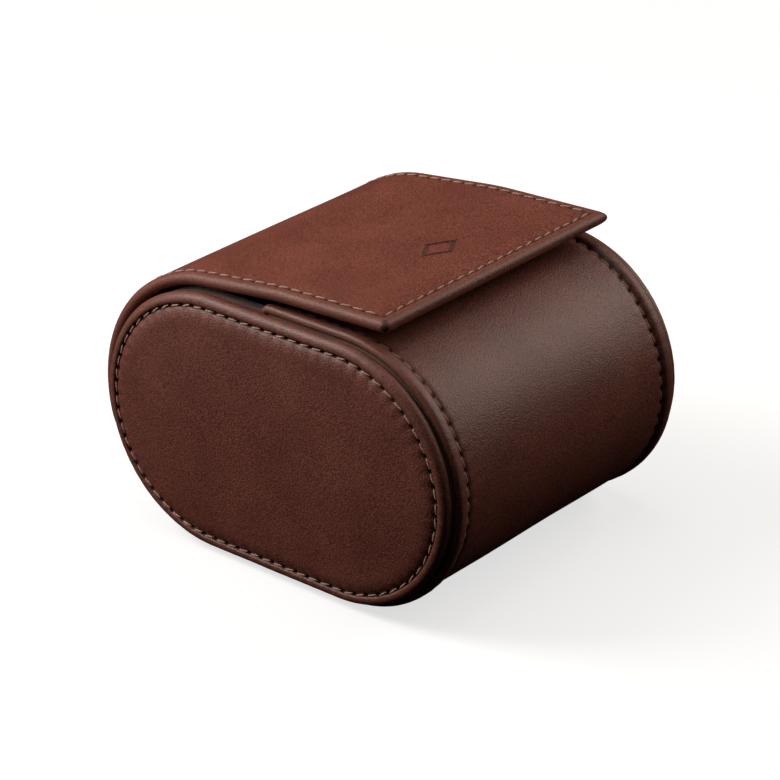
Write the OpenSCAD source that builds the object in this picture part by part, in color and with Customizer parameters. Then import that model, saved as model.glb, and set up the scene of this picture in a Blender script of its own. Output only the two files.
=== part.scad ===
// Watch case in stitched leather: an oval tube with two padded end caps, a stiff lid that wraps over the
// top and back and opens on a leather hinge, a press stud, a soft lining and a loose watch cushion.
// X runs from cap to cap, the lid's free edge faces -Y, +Z is up, and Z = 0 is what the case stands on.

/* [Oval section] */
// Length of the straight part of the oval
flat_length = 38.4; // [36:0.2:41]
// Radius of the wrap's smooth outside
wrap_r = 33.2; // [33:0.1:33.4]
// Radius of the raised seam bands near the wrap's two ends
band_r = 33.9; // [33.7:0.1:34]
// Half of the wrap's length from cap to cap
wrap_half = 40.9; // [40.7:0.1:41]

/* [Walls] */
// Thickness of the leather
leather_t = 1.2; // [1:0.1:1.3]
// Thickness of the stiff shell
shell_t = 1.8; // [1.6:0.1:1.9]
// Thickness of the lining on its thin foam
lining_t = 1.2; // [1:0.1:1.3]
// Thickness of the tube's end plates
plate_t = 2.4; // [2:0.1:2.6]

/* [Mouth] */
// Distance of the wrap's top edge behind the middle of the oval
mouth_y = 4.4; // [3:0.2:5]
// Angle of the hinge below the back's furthest point
hinge_drop = 20; // [18:1:22]

/* [End caps] */
// Radius of the roll around the rim of a cap
roll_r = 1.8; // [1.7:0.1:1.9]
// Outer radius of the cap's rim
cap_r = 32.4; // [32.2:0.1:32.5]
// Radius of the cap's line of stitches
cap_stitch_r = 29.5; // [29.4:0.1:29.6]
// Distance of the padded face's crown from the middle of the case
cap_face = 45.9; // [45.6:0.1:46.2]
// How much lower the padded face lies at its shoulder than at its crown
cap_crown = 0.5; // [0.3:0.1:0.6]

/* [Lid] */
// Outside radius of the lid where it goes round the back
lid_r = 36.1; // [36:0.1:36.4]
// Whole thickness of the lid
lid_t = 3.1; // [3:0.1:3.1]
// Half of the lid's width from side to side
lid_half = 41.2; // [41:0.1:41.4]
// Distance of the lid's free edge in front of the middle of the oval
lid_reach = 31.9; // [30:0.1:33]
// Slope of the lid where it leaves the round back, in degrees
lid_slope = 7; // [6.8:0.1:7.2]
// Slope of the lid towards its free edge, in degrees
lid_front_slope = 2.4; // [2.2:0.1:2.6]

/* [Stitches] */
// Distance from one stitch to the next
stitch_pitch = 3.6; // [3.2:0.1:4]
// Length of a stitch between its two holes
stitch_length = 2.6; // [2:0.1:2.8]
// Thickness of the thread
thread_d = 0.6; // [0.5:0.1:0.6]

/* [Press stud] */
// Distance of the stud behind the lid's free edge
stud_inset = 17.5; // [16:0.5:18]
// Radius of the stud's head
stud_head_r = 2.5; // [2.3:0.1:2.6]
// Inner radius of the socket's ring
socket_r = 4; // [3.9:0.1:4.2]

/* [Cushion] */
// Radius of the cushion's round sides at its crown
cushion_r = 23.2; // [22:0.1:23.4]
// Length of the flat between its round sides
cushion_flat = 5; // [4:0.5:6]
// Half of the cushion's length
cushion_half = 35; // [33:0.5:36]
// How much smaller the radius is at its two ends
cushion_crown = 1.4; // [1:0.1:2]
// Distance from the middle of the mouth back to the cushion's centre
cushion_depth = 17.6; // [16:0.1:17.8]

/* [Hidden] */

// Colours of the finishes
leather = "#5a3229";
thread = "#b58a78";
board = "#8a7458";
microfibre = "#5c4a40";
foam = "#d8d2c4";
metal = "#9a8f80";

// Smoothness of the round shapes
sweep_fn = 144;
wide_fn = 720;
small_fn = 48;
thread_fn = 16;

// The oval's own middle, and the radii of the wall's layers
half_flat = flat_length / 2;
centre_y = (band_r - lid_r) / 2;
centre_z = band_r;
shell_r = wrap_r - leather_t;
lining_r = shell_r - shell_t;
inside_r = lining_r - lining_t;

// Distances from the middle of the case to the faces of the end plates
shell_half = 40.4;
plate_half = shell_half - plate_t;
end_skin = 0.8;
inside_half = plate_half - end_skin;
rim_r = shell_r - end_skin;

// Seam bands of the wrap
seam_u = 36.8;
seam_inner_u = seam_u - 1;
seam_sink = 0.2;
band_u = 38.4;
band_edge_r = 0.95;

// End caps, outwards from the end plates
cap_board_r = 29.9;
cap_board_t = 2;
cap_board_u = shell_half + cap_board_t;
cap_foam_r = 28.4;
cap_shoulder_r = 24.6;
cap_shoulder_w = 2.4;
cap_seam_u = 44.1;
roll_u = 42.5;
roll_centre_r = cap_r - roll_r;
roll_foot_r = 30.3;

// Lid: a round back, a straight stretch, a gentle bend and a straight stretch to the free edge
lid_turn = 90 - lid_slope;
lid_rear = 20;
lid_bend_r = 90;
lid_roll_r = lid_t / 2;
lid_skin = 1.2;
lid_board_t = 1.1;
lid_board_half = 38.8;
lid_board_margin = 2.2;
lid_lining_half = 37.2;
lid_lining_margin = 4;
lid_board_foot = 3.5;
lid_lining_foot = 4.2;
lid_stitch_inset = 3;
lid_cut_past = 0.1;
bend_inset = 0.02;
bend_overlap = 0.5;
bend_from = [half_flat + lid_r * sin(lid_slope), lid_r * cos(lid_slope)]
    + lid_rear * [-cos(lid_slope), sin(lid_slope)];
bend_middle = bend_from - lid_bend_r * [sin(lid_slope), cos(lid_slope)];
bend_to = bend_middle + lid_bend_r * [sin(lid_front_slope), cos(lid_front_slope)];
lid_front = (bend_to[0] + lid_reach - lid_roll_r * (1 + sin(lid_front_slope))) / cos(lid_front_slope);

// Leather hinge: the roll's middle is the lid's pivot
hinge_r = lid_r - lid_roll_r;
hinge_roll_r = 1;
hinge_clearance = 0.3;
hinge_half = 34.5;
hinge_tab = 24;
hinge_gap = 1.7;
lid_low = -hinge_drop + hinge_gap;
back_length = (lid_turn - lid_low) * PI / 180 * lid_r;
bend_length = (lid_slope - lid_front_slope) * PI / 180 * lid_bend_r;
lid_length = back_length + lid_rear + bend_length + lid_front + lid_roll_r;

// Press stud and its rivets
stud_reach = lid_front + lid_roll_r - stud_inset;
stud_y = bend_to[0] - stud_reach * cos(lid_front_slope) - lid_t * sin(lid_front_slope);
flange_t = 0.5;
flange_r = 5.5;
neck_r = 2;
neck_h = 1.4;
head_h = 0.7;
socket_wall = 0.8;
socket_h = 1.6;
rivet_r = 1.4;
rivet_fit = 0.05;
rivet_hole = rivet_r + rivet_fit;
rivet_head_r = 4.5;
rivet_head_t = 0.5;

// Threads lie half sunk in a round groove
thread_fit = 0.04;
groove_r = thread_d / 2 + thread_fit;
thread_sink = 0.1;
wrap_seam_r = wrap_r - seam_sink - thread_sink;
cap_seam_at = cap_seam_u - thread_sink;

// Rows of stitches along X: one in front of the mouth's edge, and two across the hinge's tab
mouth_row_inset = 3;
mouth_row_half = 34;
mouth_row = [mouth_y - mouth_row_inset, wrap_r - thread_sink];
hinge_row_low = 4;
hinge_row_high = 5;
hinge_row_half = hinge_half - 0.5;
hinge_row_r = wrap_r + leather_t - thread_sink;
hinge_rows = [
    for (drop = [hinge_drop + hinge_row_high, hinge_drop + hinge_tab - hinge_row_low])
        [half_flat + hinge_row_r * cos(drop), -hinge_row_r * sin(drop)]
];

// The mouth's two inner edges, and the cushion that faces squarely out between them
mouth_top = [mouth_y, inside_r];
mouth_foot = [half_flat + inside_r * cos(hinge_drop), -inside_r * sin(hinge_drop)];
mouth_middle = (mouth_top + mouth_foot) / 2;
mouth_across = (mouth_foot - mouth_top) / norm(mouth_foot - mouth_top);
cushion_place = mouth_middle - cushion_depth * [-mouth_across[1], mouth_across[0]];
cushion_tilt = atan2(mouth_across[1], mouth_across[0]);
cushion_end_t = 2;
cushion_side = cushion_half - cushion_end_t;
cushion_barrel_r = pow(cushion_side, 2) / (2 * cushion_crown);
cushion_end_r = cushion_r - cushion_crown + 0.4;
cushion_end_puff = 0.7;
cushion_end_round = 2;
cushion_cover_t = 0.8;

// Place [y, z, direction] at a distance along an oval, from its top middle towards the front.
function oval_place(s, r) =
    let (bend = PI * r)
    s < half_flat ? [-s, r, 180]
    : s < half_flat + bend ?
        let (a = 90 + (s - half_flat) / r * 180 / PI) [-half_flat + r * cos(a), r * sin(a), a + 90]
    : s < 3 * half_flat + bend ? [s - 2 * half_flat - bend, -r, 0]
    : let (a = -90 + (s - 3 * half_flat - bend) / r * 180 / PI)
        a < 90 ? [half_flat + r * cos(a), r * sin(a), a + 90]
        : [half_flat - (a - 90) * PI / 180 * r, r, 180];

function oval_length(r) = 2 * PI * r + 4 * half_flat;

// Place [y, z, direction] at a distance along the lid from its foot, and at a depth under its outside.
function lid_place(s, depth) =
    let (rear = s - back_length, bend = rear - lid_rear, front = bend - bend_length)
    rear < 0 ? let (a = lid_low + s / lid_r * 180 / PI) on_arc([half_flat, 0], lid_r - depth, a)
    : bend < 0 ? on_line(bend_from, lid_slope, bend, depth)
    : front < 0 ? let (a = lid_turn + bend / lid_bend_r * 180 / PI) on_arc(bend_middle, lid_bend_r - depth, a)
    : on_line(bend_to, lid_front_slope, front, depth);

function on_arc(middle, r, a) = [middle[0] + r * cos(a), middle[1] + r * sin(a), a + 90];

function on_line(from, slope, s, depth) =
    [from[0] - s * cos(slope) - depth * sin(slope), from[1] + s * sin(slope) - depth * cos(slope), 180 - slope];

// Moves from the oval's own middle to its place in the case.
module in_case() {
    translate([0, centre_y, centre_z]) children();
}

// Sweeps a profile of [radius, distance along X] round an axis along X, from one angle to another.
module turned(y, from, to) {
    translate([0, y, 0])
        rotate([90, 0, 90]) rotate([0, 0, from]) rotate_extrude(angle = to - from, $fn = sweep_fn) children();
}

// Sweeps the same profile along the oval's flat top or bottom.
module straight(from, to, top = true) {
    translate([0, top ? from : to, 0]) rotate([top ? 0 : 180, 0, 0])
        rotate([90, 0, 90]) rotate([90, 0, 90]) linear_extrude(to - from) children();
}

module full_oval(half = half_flat) {
    turned(-half, 90, 270) children();
    turned(half, -90, 90) children();
    straight(-half, half) children();
    straight(-half, half, top = false) children();
}

// From the wrap's top edge round the front and the bottom to the hinge, with both ends pulled back.
module open_oval(pull = 0) {
    straight(-half_flat, mouth_y - pull) children();
    turned(-half_flat, 90, 270) children();
    straight(-half_flat, half_flat, top = false) children();
    turned(half_flat, -90, -hinge_drop - pull / shell_r * 180 / PI) children();
}

module mouth_oval() {
    straight(mouth_y, half_flat) children();
    turned(half_flat, -hinge_drop, 90) children();
}

// The two narrow edges that open_oval leaves out when its ends are pulled back.
module mouth_edges(pull) {
    straight(mouth_y - pull, mouth_y) children();
    turned(half_flat, -hinge_drop - pull / shell_r * 180 / PI, -hinge_drop) children();
}

module band(r_in, r_out, u_in, u_out) {
    translate([r_in, u_in]) square([r_out - r_in, u_out - u_in]);
}

module to_side(left) {
    mirror([left ? 1 : 0, 0, 0]) children();
}

// A stitch lies along its seam.
module stitch(place, u) {
    translate([u, place[0], place[1]]) rotate([place[2] - 90, 0, 0])
        cylinder(d = thread_d, h = stitch_length, center = true, $fn = thread_fn);
}

// A row of stitches along X, and the groove that it lies in.
module cross_row(place, half) {
    count = floor((2 * half - stitch_length) / stitch_pitch);
    for (i = [0:count])
        translate([(i - count / 2) * stitch_pitch, place[0], place[1]]) rotate([0, 90, 0])
            cylinder(d = thread_d, h = stitch_length, center = true, $fn = thread_fn);
}

module cross_groove(place, half) {
    translate([0, place[0], place[1]]) rotate([0, 90, 0])
        cylinder(r = groove_r, h = 2 * half, center = true, $fn = thread_fn);
}

module wrap_profile(side) {
    difference() {
        union() {
            polygon([
                [shell_r, side * seam_inner_u], [wrap_r, side * seam_inner_u],
                [wrap_r - seam_sink, side * seam_u], [band_r, side * band_u],
                [band_r, side * (wrap_half - band_edge_r)],
                [band_r - band_edge_r, side * (wrap_half - band_edge_r)],
                [band_r - band_edge_r, side * wrap_half], [shell_r, side * wrap_half]
            ]);
            translate([band_r - band_edge_r, side * (wrap_half - band_edge_r)])
                circle(band_edge_r, $fn = small_fn);
        }
        translate([wrap_seam_r, side * seam_u]) circle(groove_r, $fn = thread_fn);
    }
}

// The leather goes over the edge of the mouth and covers the ends of the shell and the lining.
module outer_wrap() {
    color(leather) in_case() difference() {
        union() {
            open_oval() union() {
                band(shell_r, wrap_r, -seam_inner_u, seam_inner_u);
                wrap_profile(1);
                wrap_profile(-1);
            }
            mouth_edges(leather_t) union() {
                band(inside_r, shell_r + leather_t / 2, -inside_half, inside_half);
                band(lining_r, shell_r + leather_t / 2, -shell_half, shell_half);
            }
        }
        cross_groove(mouth_row, mouth_row_half);
        translate([0, stud_y, lining_r]) cylinder(r = rivet_hole, h = 2 * shell_t + leather_t, $fn = small_fn);
    }
}

module shell_core() {
    color(board) in_case() difference() {
        open_oval(leather_t) band(lining_r, shell_r, -shell_half, shell_half);
        translate([0, stud_y, inside_r]) cylinder(r = rivet_hole, h = 2 * shell_t + lining_t, $fn = small_fn);
    }
}

module shell_lining() {
    color(microfibre) in_case() difference() {
        open_oval(leather_t) band(inside_r, lining_r, -inside_half, inside_half);
        translate([0, stud_y, lining_r - rivet_head_t])
            cylinder(r = rivet_head_r, h = 2 * rivet_head_t, $fn = small_fn);
    }
}

// The plate closes the tube, and its rim stands higher where the mouth leaves it bare.
module end_plate(left) {
    color(board) in_case() to_side(left) {
        full_oval() band(0, lining_r, plate_half, shell_half);
        mouth_oval() band(lining_r, rim_r, plate_half, shell_half);
    }
}

// The lining covers the plate's inner face and, in the mouth, goes over its rim.
module end_lining(left) {
    color(microfibre) in_case() to_side(left) difference() {
        union() {
            full_oval() band(0, lining_r, inside_half, plate_half);
            mouth_oval() band(inside_r, shell_r, inside_half, shell_half);
        }
        full_oval() band(0, rim_r, plate_half, shell_half + end_skin);
    }
}

module cap_board(left) {
    color(board) in_case() to_side(left) full_oval() band(0, cap_board_r, shell_half, cap_board_u);
}

// Crowned face of the cap, lowered by a skin where the foam lies under the leather.
module cap_face_profile(skin, edge_r) {
    crown = [
        for (part = [0:1 / 3:1])
            [part * cap_shoulder_r, cap_face - skin - cap_crown * pow(part, 2)]
    ];
    polygon(concat([[0, cap_board_u]], crown, [
        [cap_shoulder_r + cap_shoulder_w, cap_face - 2 * cap_crown - skin],
        [edge_r, cap_seam_u - skin], [edge_r, cap_board_u]
    ]));
}

module cap_foam(left) {
    color(foam) in_case() to_side(left) full_oval() cap_face_profile(leather_t, cap_foam_r);
}

module cap_leather_profile() {
    difference() {
        union() {
            cap_face_profile(0, cap_stitch_r - groove_r);
            band(0, cap_stitch_r, shell_half, cap_board_u);
            polygon([
                [cap_stitch_r - groove_r, cap_seam_u], [cap_stitch_r + groove_r, cap_seam_u],
                [roll_centre_r, roll_u + roll_r], [roll_centre_r, roll_u - roll_r],
                [roll_foot_r, shell_half], [cap_stitch_r - groove_r, shell_half]
            ]);
            translate([roll_centre_r, roll_u]) circle(roll_r, $fn = small_fn);
        }
        band(0, cap_board_r, shell_half, cap_board_u);
        cap_face_profile(leather_t, cap_foam_r);
        translate([cap_stitch_r, cap_seam_at]) circle(groove_r, $fn = thread_fn);
    }
}

module cap_leather(left) {
    color(leather) in_case() to_side(left) full_oval() cap_leather_profile();
}

module cap_thread(left) {
    count = round(oval_length(cap_stitch_r) / stitch_pitch);
    color(thread) in_case() to_side(left)
        for (i = [0:count - 1])
            stitch(oval_place(i * oval_length(cap_stitch_r) / count, cap_stitch_r), cap_seam_at);
}

// The wrap's seam starts behind the mouth's edge and stops short of the hinge.
module wrap_thread(left) {
    start = -mouth_y + stitch_pitch;
    stop = 3 * half_flat + PI * wrap_seam_r + (90 - hinge_drop) * PI / 180 * wrap_seam_r - stitch_pitch;
    count = round((stop - start) / stitch_pitch);
    color(thread) in_case() to_side(left)
        for (i = [0:count])
            stitch(oval_place(start + i * (stop - start) / count, wrap_seam_r), seam_u);
}

module mouth_thread() {
    color(thread) in_case() cross_row(mouth_row, mouth_row_half);
}

// The tab is glued and sewn to the wrap, and its top edge is the roll that the lid turns on.
module hinge_leather() {
    color(leather) in_case() difference() {
        union() {
            turned(half_flat, -hinge_drop - hinge_tab, -hinge_drop)
                band(wrap_r, wrap_r + leather_t, -hinge_half, hinge_half);
            translate([0, half_flat + hinge_r * cos(hinge_drop), -hinge_r * sin(hinge_drop)])
                rotate([0, 90, 0]) cylinder(r = hinge_roll_r, h = 2 * hinge_half, center = true, $fn = small_fn);
        }
        for (place = hinge_rows)
            cross_groove(place, hinge_row_half);
    }
}

module hinge_thread() {
    color(thread) in_case()
        for (place = hinge_rows)
            cross_row(place, hinge_row_half);
}

module snap_stud() {
    rivet_reach = 0.8;
    color(metal) in_case() translate([0, stud_y, wrap_r]) difference() {
        union() {
            cylinder(r = flange_r, h = flange_t, $fn = small_fn);
            cylinder(r = neck_r, h = neck_h, $fn = small_fn);
            translate([0, 0, neck_h]) cylinder(r1 = stud_head_r, r2 = neck_r, h = head_h, $fn = small_fn);
        }
        cylinder(r = rivet_hole, h = rivet_reach, $fn = small_fn);
    }
}

module stud_rivet() {
    color(metal) in_case() translate([0, stud_y, lining_r]) {
        translate([0, 0, -rivet_head_t]) cylinder(r = rivet_head_r, h = rivet_head_t, $fn = small_fn);
        cylinder(r = rivet_r, h = shell_t + leather_t + flange_t, $fn = small_fn);
    }
}

// Sweeps the lid's profile along a straight stretch that ends at a place and falls towards the back.
module lid_straight(end, slope, length) {
    translate([0, end[0], end[1]]) rotate([-slope, 0, 0])
        rotate([90, 0, 90]) rotate([90, 0, 90]) linear_extrude(length) translate([-lid_r, 0]) children();
}

// Sweeps a profile along the lid, from an angle at its foot to a distance along its front stretch. The two
// bends are a hair thinner than the straight stretches and run a little way into them.
module lid_sweep(from, to) {
    bend_turn = lid_slope - lid_front_slope;
    let ($inset = 0) {
        lid_straight(bend_from, lid_slope, lid_rear) children();
        lid_straight(on_line(bend_to, lid_front_slope, to, 0), lid_front_slope, to) children();
    }
    let ($inset = bend_inset) {
        turned(half_flat, from, lid_turn + bend_overlap) children();
        translate([0, bend_middle[0], bend_middle[1]])
            rotate([90, 0, 90]) rotate([0, 0, lid_turn - bend_overlap])
                rotate_extrude(angle = bend_turn + 2 * bend_overlap, $fn = wide_fn)
                    translate([lid_bend_r - lid_r, 0]) children();
    }
}

// Profile of one of the lid's layers, between two depths.
module lid_band(top, bottom, half) {
    band(lid_r - bottom + $inset, lid_r - top - $inset, $inset - half, half - $inset);
}

// Moves to a place under the lid's front stretch, with +Z standing square on the lid.
module at_lid(reach, depth) {
    place = on_line(bend_to, lid_front_slope, reach, depth);
    translate([0, place[0], place[1]]) rotate([-lid_front_slope, 0, 0]) children();
}

module lid_profile() {
    flat_half = lid_half - lid_roll_r;
    difference() {
        union() {
            lid_band(0, lid_t, flat_half);
            for (side = [-1, 1])
                translate([lid_r - lid_roll_r, side * flat_half]) circle(lid_roll_r - $inset, $fn = small_fn);
        }
        for (side = [-1, 1])
            translate([lid_r - thread_sink, side * (lid_half - lid_stitch_inset)])
                circle(groove_r + $inset, $fn = thread_fn);
    }
}

module lid_front_roll() {
    reach = lid_half - lid_roll_r;
    r = lid_roll_r - bend_inset;
    at_lid(lid_front, lid_roll_r) {
        rotate([0, 90, 0]) cylinder(r = r, h = 2 * reach, center = true, $fn = small_fn);
        for (side = [-1, 1])
            translate([side * reach, 0, 0]) sphere(r = r, $fn = small_fn);
    }
}

module lid_board_space() {
    lid_sweep(lid_low + lid_board_foot, lid_front + lid_roll_r - lid_board_margin)
        lid_band(lid_skin, lid_skin + lid_board_t, lid_board_half);
}

// Where the leather is cut out for the lining, the space reaches past both faces of the lining.
module lid_lining_space(past = 0) {
    lid_sweep(lid_low + lid_lining_foot, lid_front + lid_roll_r - lid_lining_margin)
        lid_band(lid_skin + lid_board_t - past, lid_t + past, lid_lining_half);
}

// The leather covers the outside, rolls over the edges and ends in a hollow round the hinge's roll.
module lid_leather() {
    color(leather) in_case() difference() {
        union() {
            lid_sweep(lid_low, lid_front) lid_profile();
            lid_front_roll();
        }
        lid_board_space();
        lid_lining_space(lid_cut_past);
        cross_groove(lid_place(lid_length - lid_stitch_inset, thread_sink), lid_half - lid_stitch_inset);
        translate([0, half_flat + hinge_r * cos(hinge_drop), -hinge_r * sin(hinge_drop)]) rotate([0, 90, 0])
            cylinder(r = hinge_roll_r + hinge_clearance, h = 3 * lid_half, center = true, $fn = small_fn);
    }
}

module lid_board() {
    color(board) in_case() difference() {
        lid_board_space();
        at_lid(stud_reach, lid_skin + rivet_head_t) cylinder(r = rivet_head_r, h = lid_t, $fn = small_fn);
        at_lid(stud_reach, lid_t) cylinder(r = rivet_hole, h = lid_t, $fn = small_fn);
    }
}

module lid_lining() {
    color(microfibre) in_case() difference() {
        lid_lining_space();
        at_lid(stud_reach, 2 * lid_t) cylinder(r = rivet_hole, h = 2 * lid_t, $fn = small_fn);
    }
}

// Stitches run up one side, along the free edge and down the other.
module lid_thread() {
    side_u = lid_half - lid_stitch_inset;
    stop = lid_length - lid_stitch_inset;
    count = round((stop - stitch_pitch) / stitch_pitch);
    color(thread) in_case() {
        for (side = [-1, 1], i = [1:count - 1])
            stitch(lid_place(stitch_pitch + i * (stop - stitch_pitch) / count, thread_sink), side * side_u);
        cross_row(lid_place(stop, thread_sink), side_u);
    }
}

module snap_socket() {
    color(metal) in_case() at_lid(stud_reach, lid_t) rotate([180, 0, 0]) difference() {
        union() {
            cylinder(r = socket_r + 2 * socket_wall, h = flange_t, $fn = small_fn);
            cylinder(r = socket_r + socket_wall, h = socket_h, $fn = small_fn);
        }
        translate([0, 0, flange_t]) cylinder(r = socket_r, h = socket_h, $fn = small_fn);
        translate([0, 0, -flange_t]) cylinder(r = rivet_hole, h = socket_h, $fn = small_fn);
    }
}

module socket_rivet() {
    stem = lid_t - lid_skin - rivet_head_t + flange_t;
    color(metal) in_case() at_lid(stud_reach, lid_skin + rivet_head_t) {
        cylinder(r = rivet_head_r, h = rivet_head_t, $fn = small_fn);
        rotate([180, 0, 0]) cylinder(r = rivet_r, h = stem, $fn = small_fn);
    }
}

// The cushion's own frame: +Z faces out of the mouth.
module in_cushion() {
    in_case() translate([0, cushion_place[0], cushion_place[1]]) rotate([cushion_tilt, 0, 0]) children();
}

// Outline of the cushion from its middle line outwards, smaller at its two ends.
module cushion_profile(skin) {
    intersection() {
        translate([cushion_r - cushion_barrel_r, 0]) circle(cushion_barrel_r - skin, $fn = wide_fn);
        band(0, cushion_r, -cushion_side, cushion_side);
    }
}

module cushion_foam() {
    color(foam) in_cushion() full_oval(cushion_flat / 2) cushion_profile(cushion_cover_t);
}

module cushion_cover() {
    color(microfibre) in_cushion() full_oval(cushion_flat / 2) difference() {
        cushion_profile(0);
        cushion_profile(cushion_cover_t);
    }
}

// The end is a puffed oval panel that is sewn to the cover.
module cushion_end(left) {
    color(microfibre) in_cushion() to_side(left) full_oval(cushion_flat / 2)
        polygon([
            [0, cushion_side], [0, cushion_half],
            [cushion_end_r / 2, cushion_half - cushion_end_puff / 4],
            [cushion_end_r - cushion_end_round, cushion_half - cushion_end_puff],
            [cushion_end_r, cushion_side + cushion_end_puff],
            [cushion_end_r, cushion_side]
        ]);
}

outer_wrap();
shell_core();
shell_lining();
end_plate(true);  // left_end_plate
end_plate(false);  // right_end_plate
end_lining(true);  // left_end_lining
end_lining(false);  // right_end_lining
cap_board(true);  // left_cap_board
cap_board(false);  // right_cap_board
cap_foam(true);  // left_cap_foam
cap_foam(false);  // right_cap_foam
cap_leather(true);  // left_cap_leather
cap_leather(false);  // right_cap_leather
cap_thread(true);  // left_cap_thread
cap_thread(false);  // right_cap_thread
wrap_thread(true);  // left_wrap_thread
wrap_thread(false);  // right_wrap_thread
mouth_thread();
hinge_leather();
hinge_thread();
snap_stud();
stud_rivet();
lid_leather();
lid_board();
lid_lining();
lid_thread();
snap_socket();
socket_rivet();
cushion_cover();
cushion_foam();
cushion_end(true);  // left_cushion_end
cushion_end(false);  // right_cushion_end
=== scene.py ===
# Watch case in stitched leather over its CAD frame: X runs from cap to cap, the lid's free edge faces -Y
import math
import bmesh
import bpy
from mathutils import Matrix, Vector, noise
from mathutils.bvhtree import BVHTree
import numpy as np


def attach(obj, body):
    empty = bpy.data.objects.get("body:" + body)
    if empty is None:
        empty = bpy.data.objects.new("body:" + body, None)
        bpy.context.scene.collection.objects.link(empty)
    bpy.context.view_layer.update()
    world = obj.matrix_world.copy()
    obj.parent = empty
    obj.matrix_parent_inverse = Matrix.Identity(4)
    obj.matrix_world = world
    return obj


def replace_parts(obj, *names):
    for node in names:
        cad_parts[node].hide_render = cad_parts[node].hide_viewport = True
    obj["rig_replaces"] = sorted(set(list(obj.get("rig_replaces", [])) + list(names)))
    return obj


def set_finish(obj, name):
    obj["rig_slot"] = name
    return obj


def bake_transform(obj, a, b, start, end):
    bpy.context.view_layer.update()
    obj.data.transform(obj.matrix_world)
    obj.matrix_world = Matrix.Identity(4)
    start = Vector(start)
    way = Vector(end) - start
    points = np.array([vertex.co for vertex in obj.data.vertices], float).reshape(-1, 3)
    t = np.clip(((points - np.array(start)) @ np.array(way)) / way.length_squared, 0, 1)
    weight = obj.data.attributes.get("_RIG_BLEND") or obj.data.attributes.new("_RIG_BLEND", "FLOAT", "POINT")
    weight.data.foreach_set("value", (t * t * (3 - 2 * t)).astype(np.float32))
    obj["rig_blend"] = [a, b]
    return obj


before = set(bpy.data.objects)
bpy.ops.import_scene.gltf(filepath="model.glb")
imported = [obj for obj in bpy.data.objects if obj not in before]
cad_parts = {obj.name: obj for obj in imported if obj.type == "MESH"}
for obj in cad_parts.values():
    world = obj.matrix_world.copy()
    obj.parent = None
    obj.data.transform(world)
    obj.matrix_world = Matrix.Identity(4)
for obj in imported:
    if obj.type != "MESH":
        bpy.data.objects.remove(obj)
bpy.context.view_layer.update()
print("frame loaded,", len(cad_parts), "CAD parts")

mm = 0.001

# Section of the case in mm, seen from its end: two round sides joined by flats
section = {
    "middleY": -1.1,
    "middleZ": 33.9,
    "halfFlat": 19.2,
    "mouthY": 4.4,      # top edge of the wrap, behind the middle
    "hingeAngle": -20,  # back edge of the wrap, in degrees from straight back
}
frontY = section["middleY"] - section["halfFlat"]
backY = section["middleY"] + section["halfFlat"]
midZ = section["middleZ"]

seams = {
    "pitch": 3.6,
    "length": 2.75,   # from hole to hole as it shows
    "thick": 0.46,
    "wrapThick": 0.4,
    "lean": 8,        # slant of each stitch across its seam, in degrees
}


def turn(degrees):
    # Direction in the YZ plane, from straight back towards up
    return Vector((0, math.cos(math.radians(degrees)), math.sin(math.radians(degrees))))


def ovalPlace(along, radius):
    # Point and outward direction (degrees) at a distance round the oval, from its top middle to the front
    half = section["halfFlat"]
    bend = math.pi * radius
    if along < half:
        angle = 90
        middle = Vector((0, section["middleY"] - along, midZ))
    elif along < half + bend:
        angle = 90 + math.degrees((along - half) / radius)
        middle = Vector((0, frontY, midZ))
    elif along < 3 * half + bend:
        angle = 270
        middle = Vector((0, frontY + along - half - bend, midZ))
    elif along < 3 * half + 2 * bend:
        angle = 270 + math.degrees((along - 3 * half - bend) / radius)
        middle = Vector((0, backY, midZ))
    else:
        angle = 450
        middle = Vector((0, backY - (along - 3 * half - 2 * bend), midZ))
    return middle + radius * turn(angle), angle


def newMesh():
    bm = bmesh.new()
    for name in ("along", "paintedShade", "edge"):
        bm.verts.layers.float.new(name)
    return bm


def chain(bm, points, closed=False):
    verts = [bm.verts.new(p) for p in points]
    edges = [bm.edges.new(pair) for pair in zip(verts, verts[1:])]
    if closed:
        edges.append(bm.edges.new((verts[-1], verts[0])))
    return edges


def vertsOf(edges):
    # Each once, and always in the same order
    return list(dict.fromkeys(v for e in edges for v in e.verts))


def sweep(bm, edges, moves, along=0.0):
    # Carries a chain of edges over straight runs (dy, dz, step)
    # and bends (y, z, degrees, radius, step), all in mm
    layer = bm.verts.layers.float["along"]
    for vert in vertsOf(edges):
        vert[layer] = along
    for move in moves:
        if len(move) == 3:
            run = Vector((0, move[0], move[1]))
            length = run.length
        else:
            length = abs(math.radians(move[2])) * move[3]
        steps = max(1, round(length / move[-1]))
        for count in range(steps):
            verts = vertsOf(edges)
            if len(move) == 3:
                made = bmesh.ops.extrude_edge_only(bm, edges=edges)["geom"]
                moved = {g for g in made if isinstance(g, bmesh.types.BMVert)}
                bmesh.ops.translate(bm, verts=list(moved), vec=run / steps)
            else:
                made = bmesh.ops.spin(bm, geom=edges + verts, cent=(0, move[0], move[1]), axis=(1, 0, 0),
                                      angle=math.radians(move[2]) / steps, steps=1)["geom_last"]
                moved = {g for g in made if isinstance(g, bmesh.types.BMVert)}
            edges = [g for g in made if isinstance(g, bmesh.types.BMEdge) and set(g.verts) <= moved]
            along += length / steps
            for vert in moved:
                vert[layer] = along
    return edges


def closeUp(bm, distance=0.004):
    bmesh.ops.remove_doubles(bm, verts=bm.verts[:], dist=distance)
    bmesh.ops.holes_fill(bm, edges=bm.edges[:], sides=0)
    bmesh.ops.recalc_face_normals(bm, faces=bm.faces[:])
    bm.normal_update()


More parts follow.
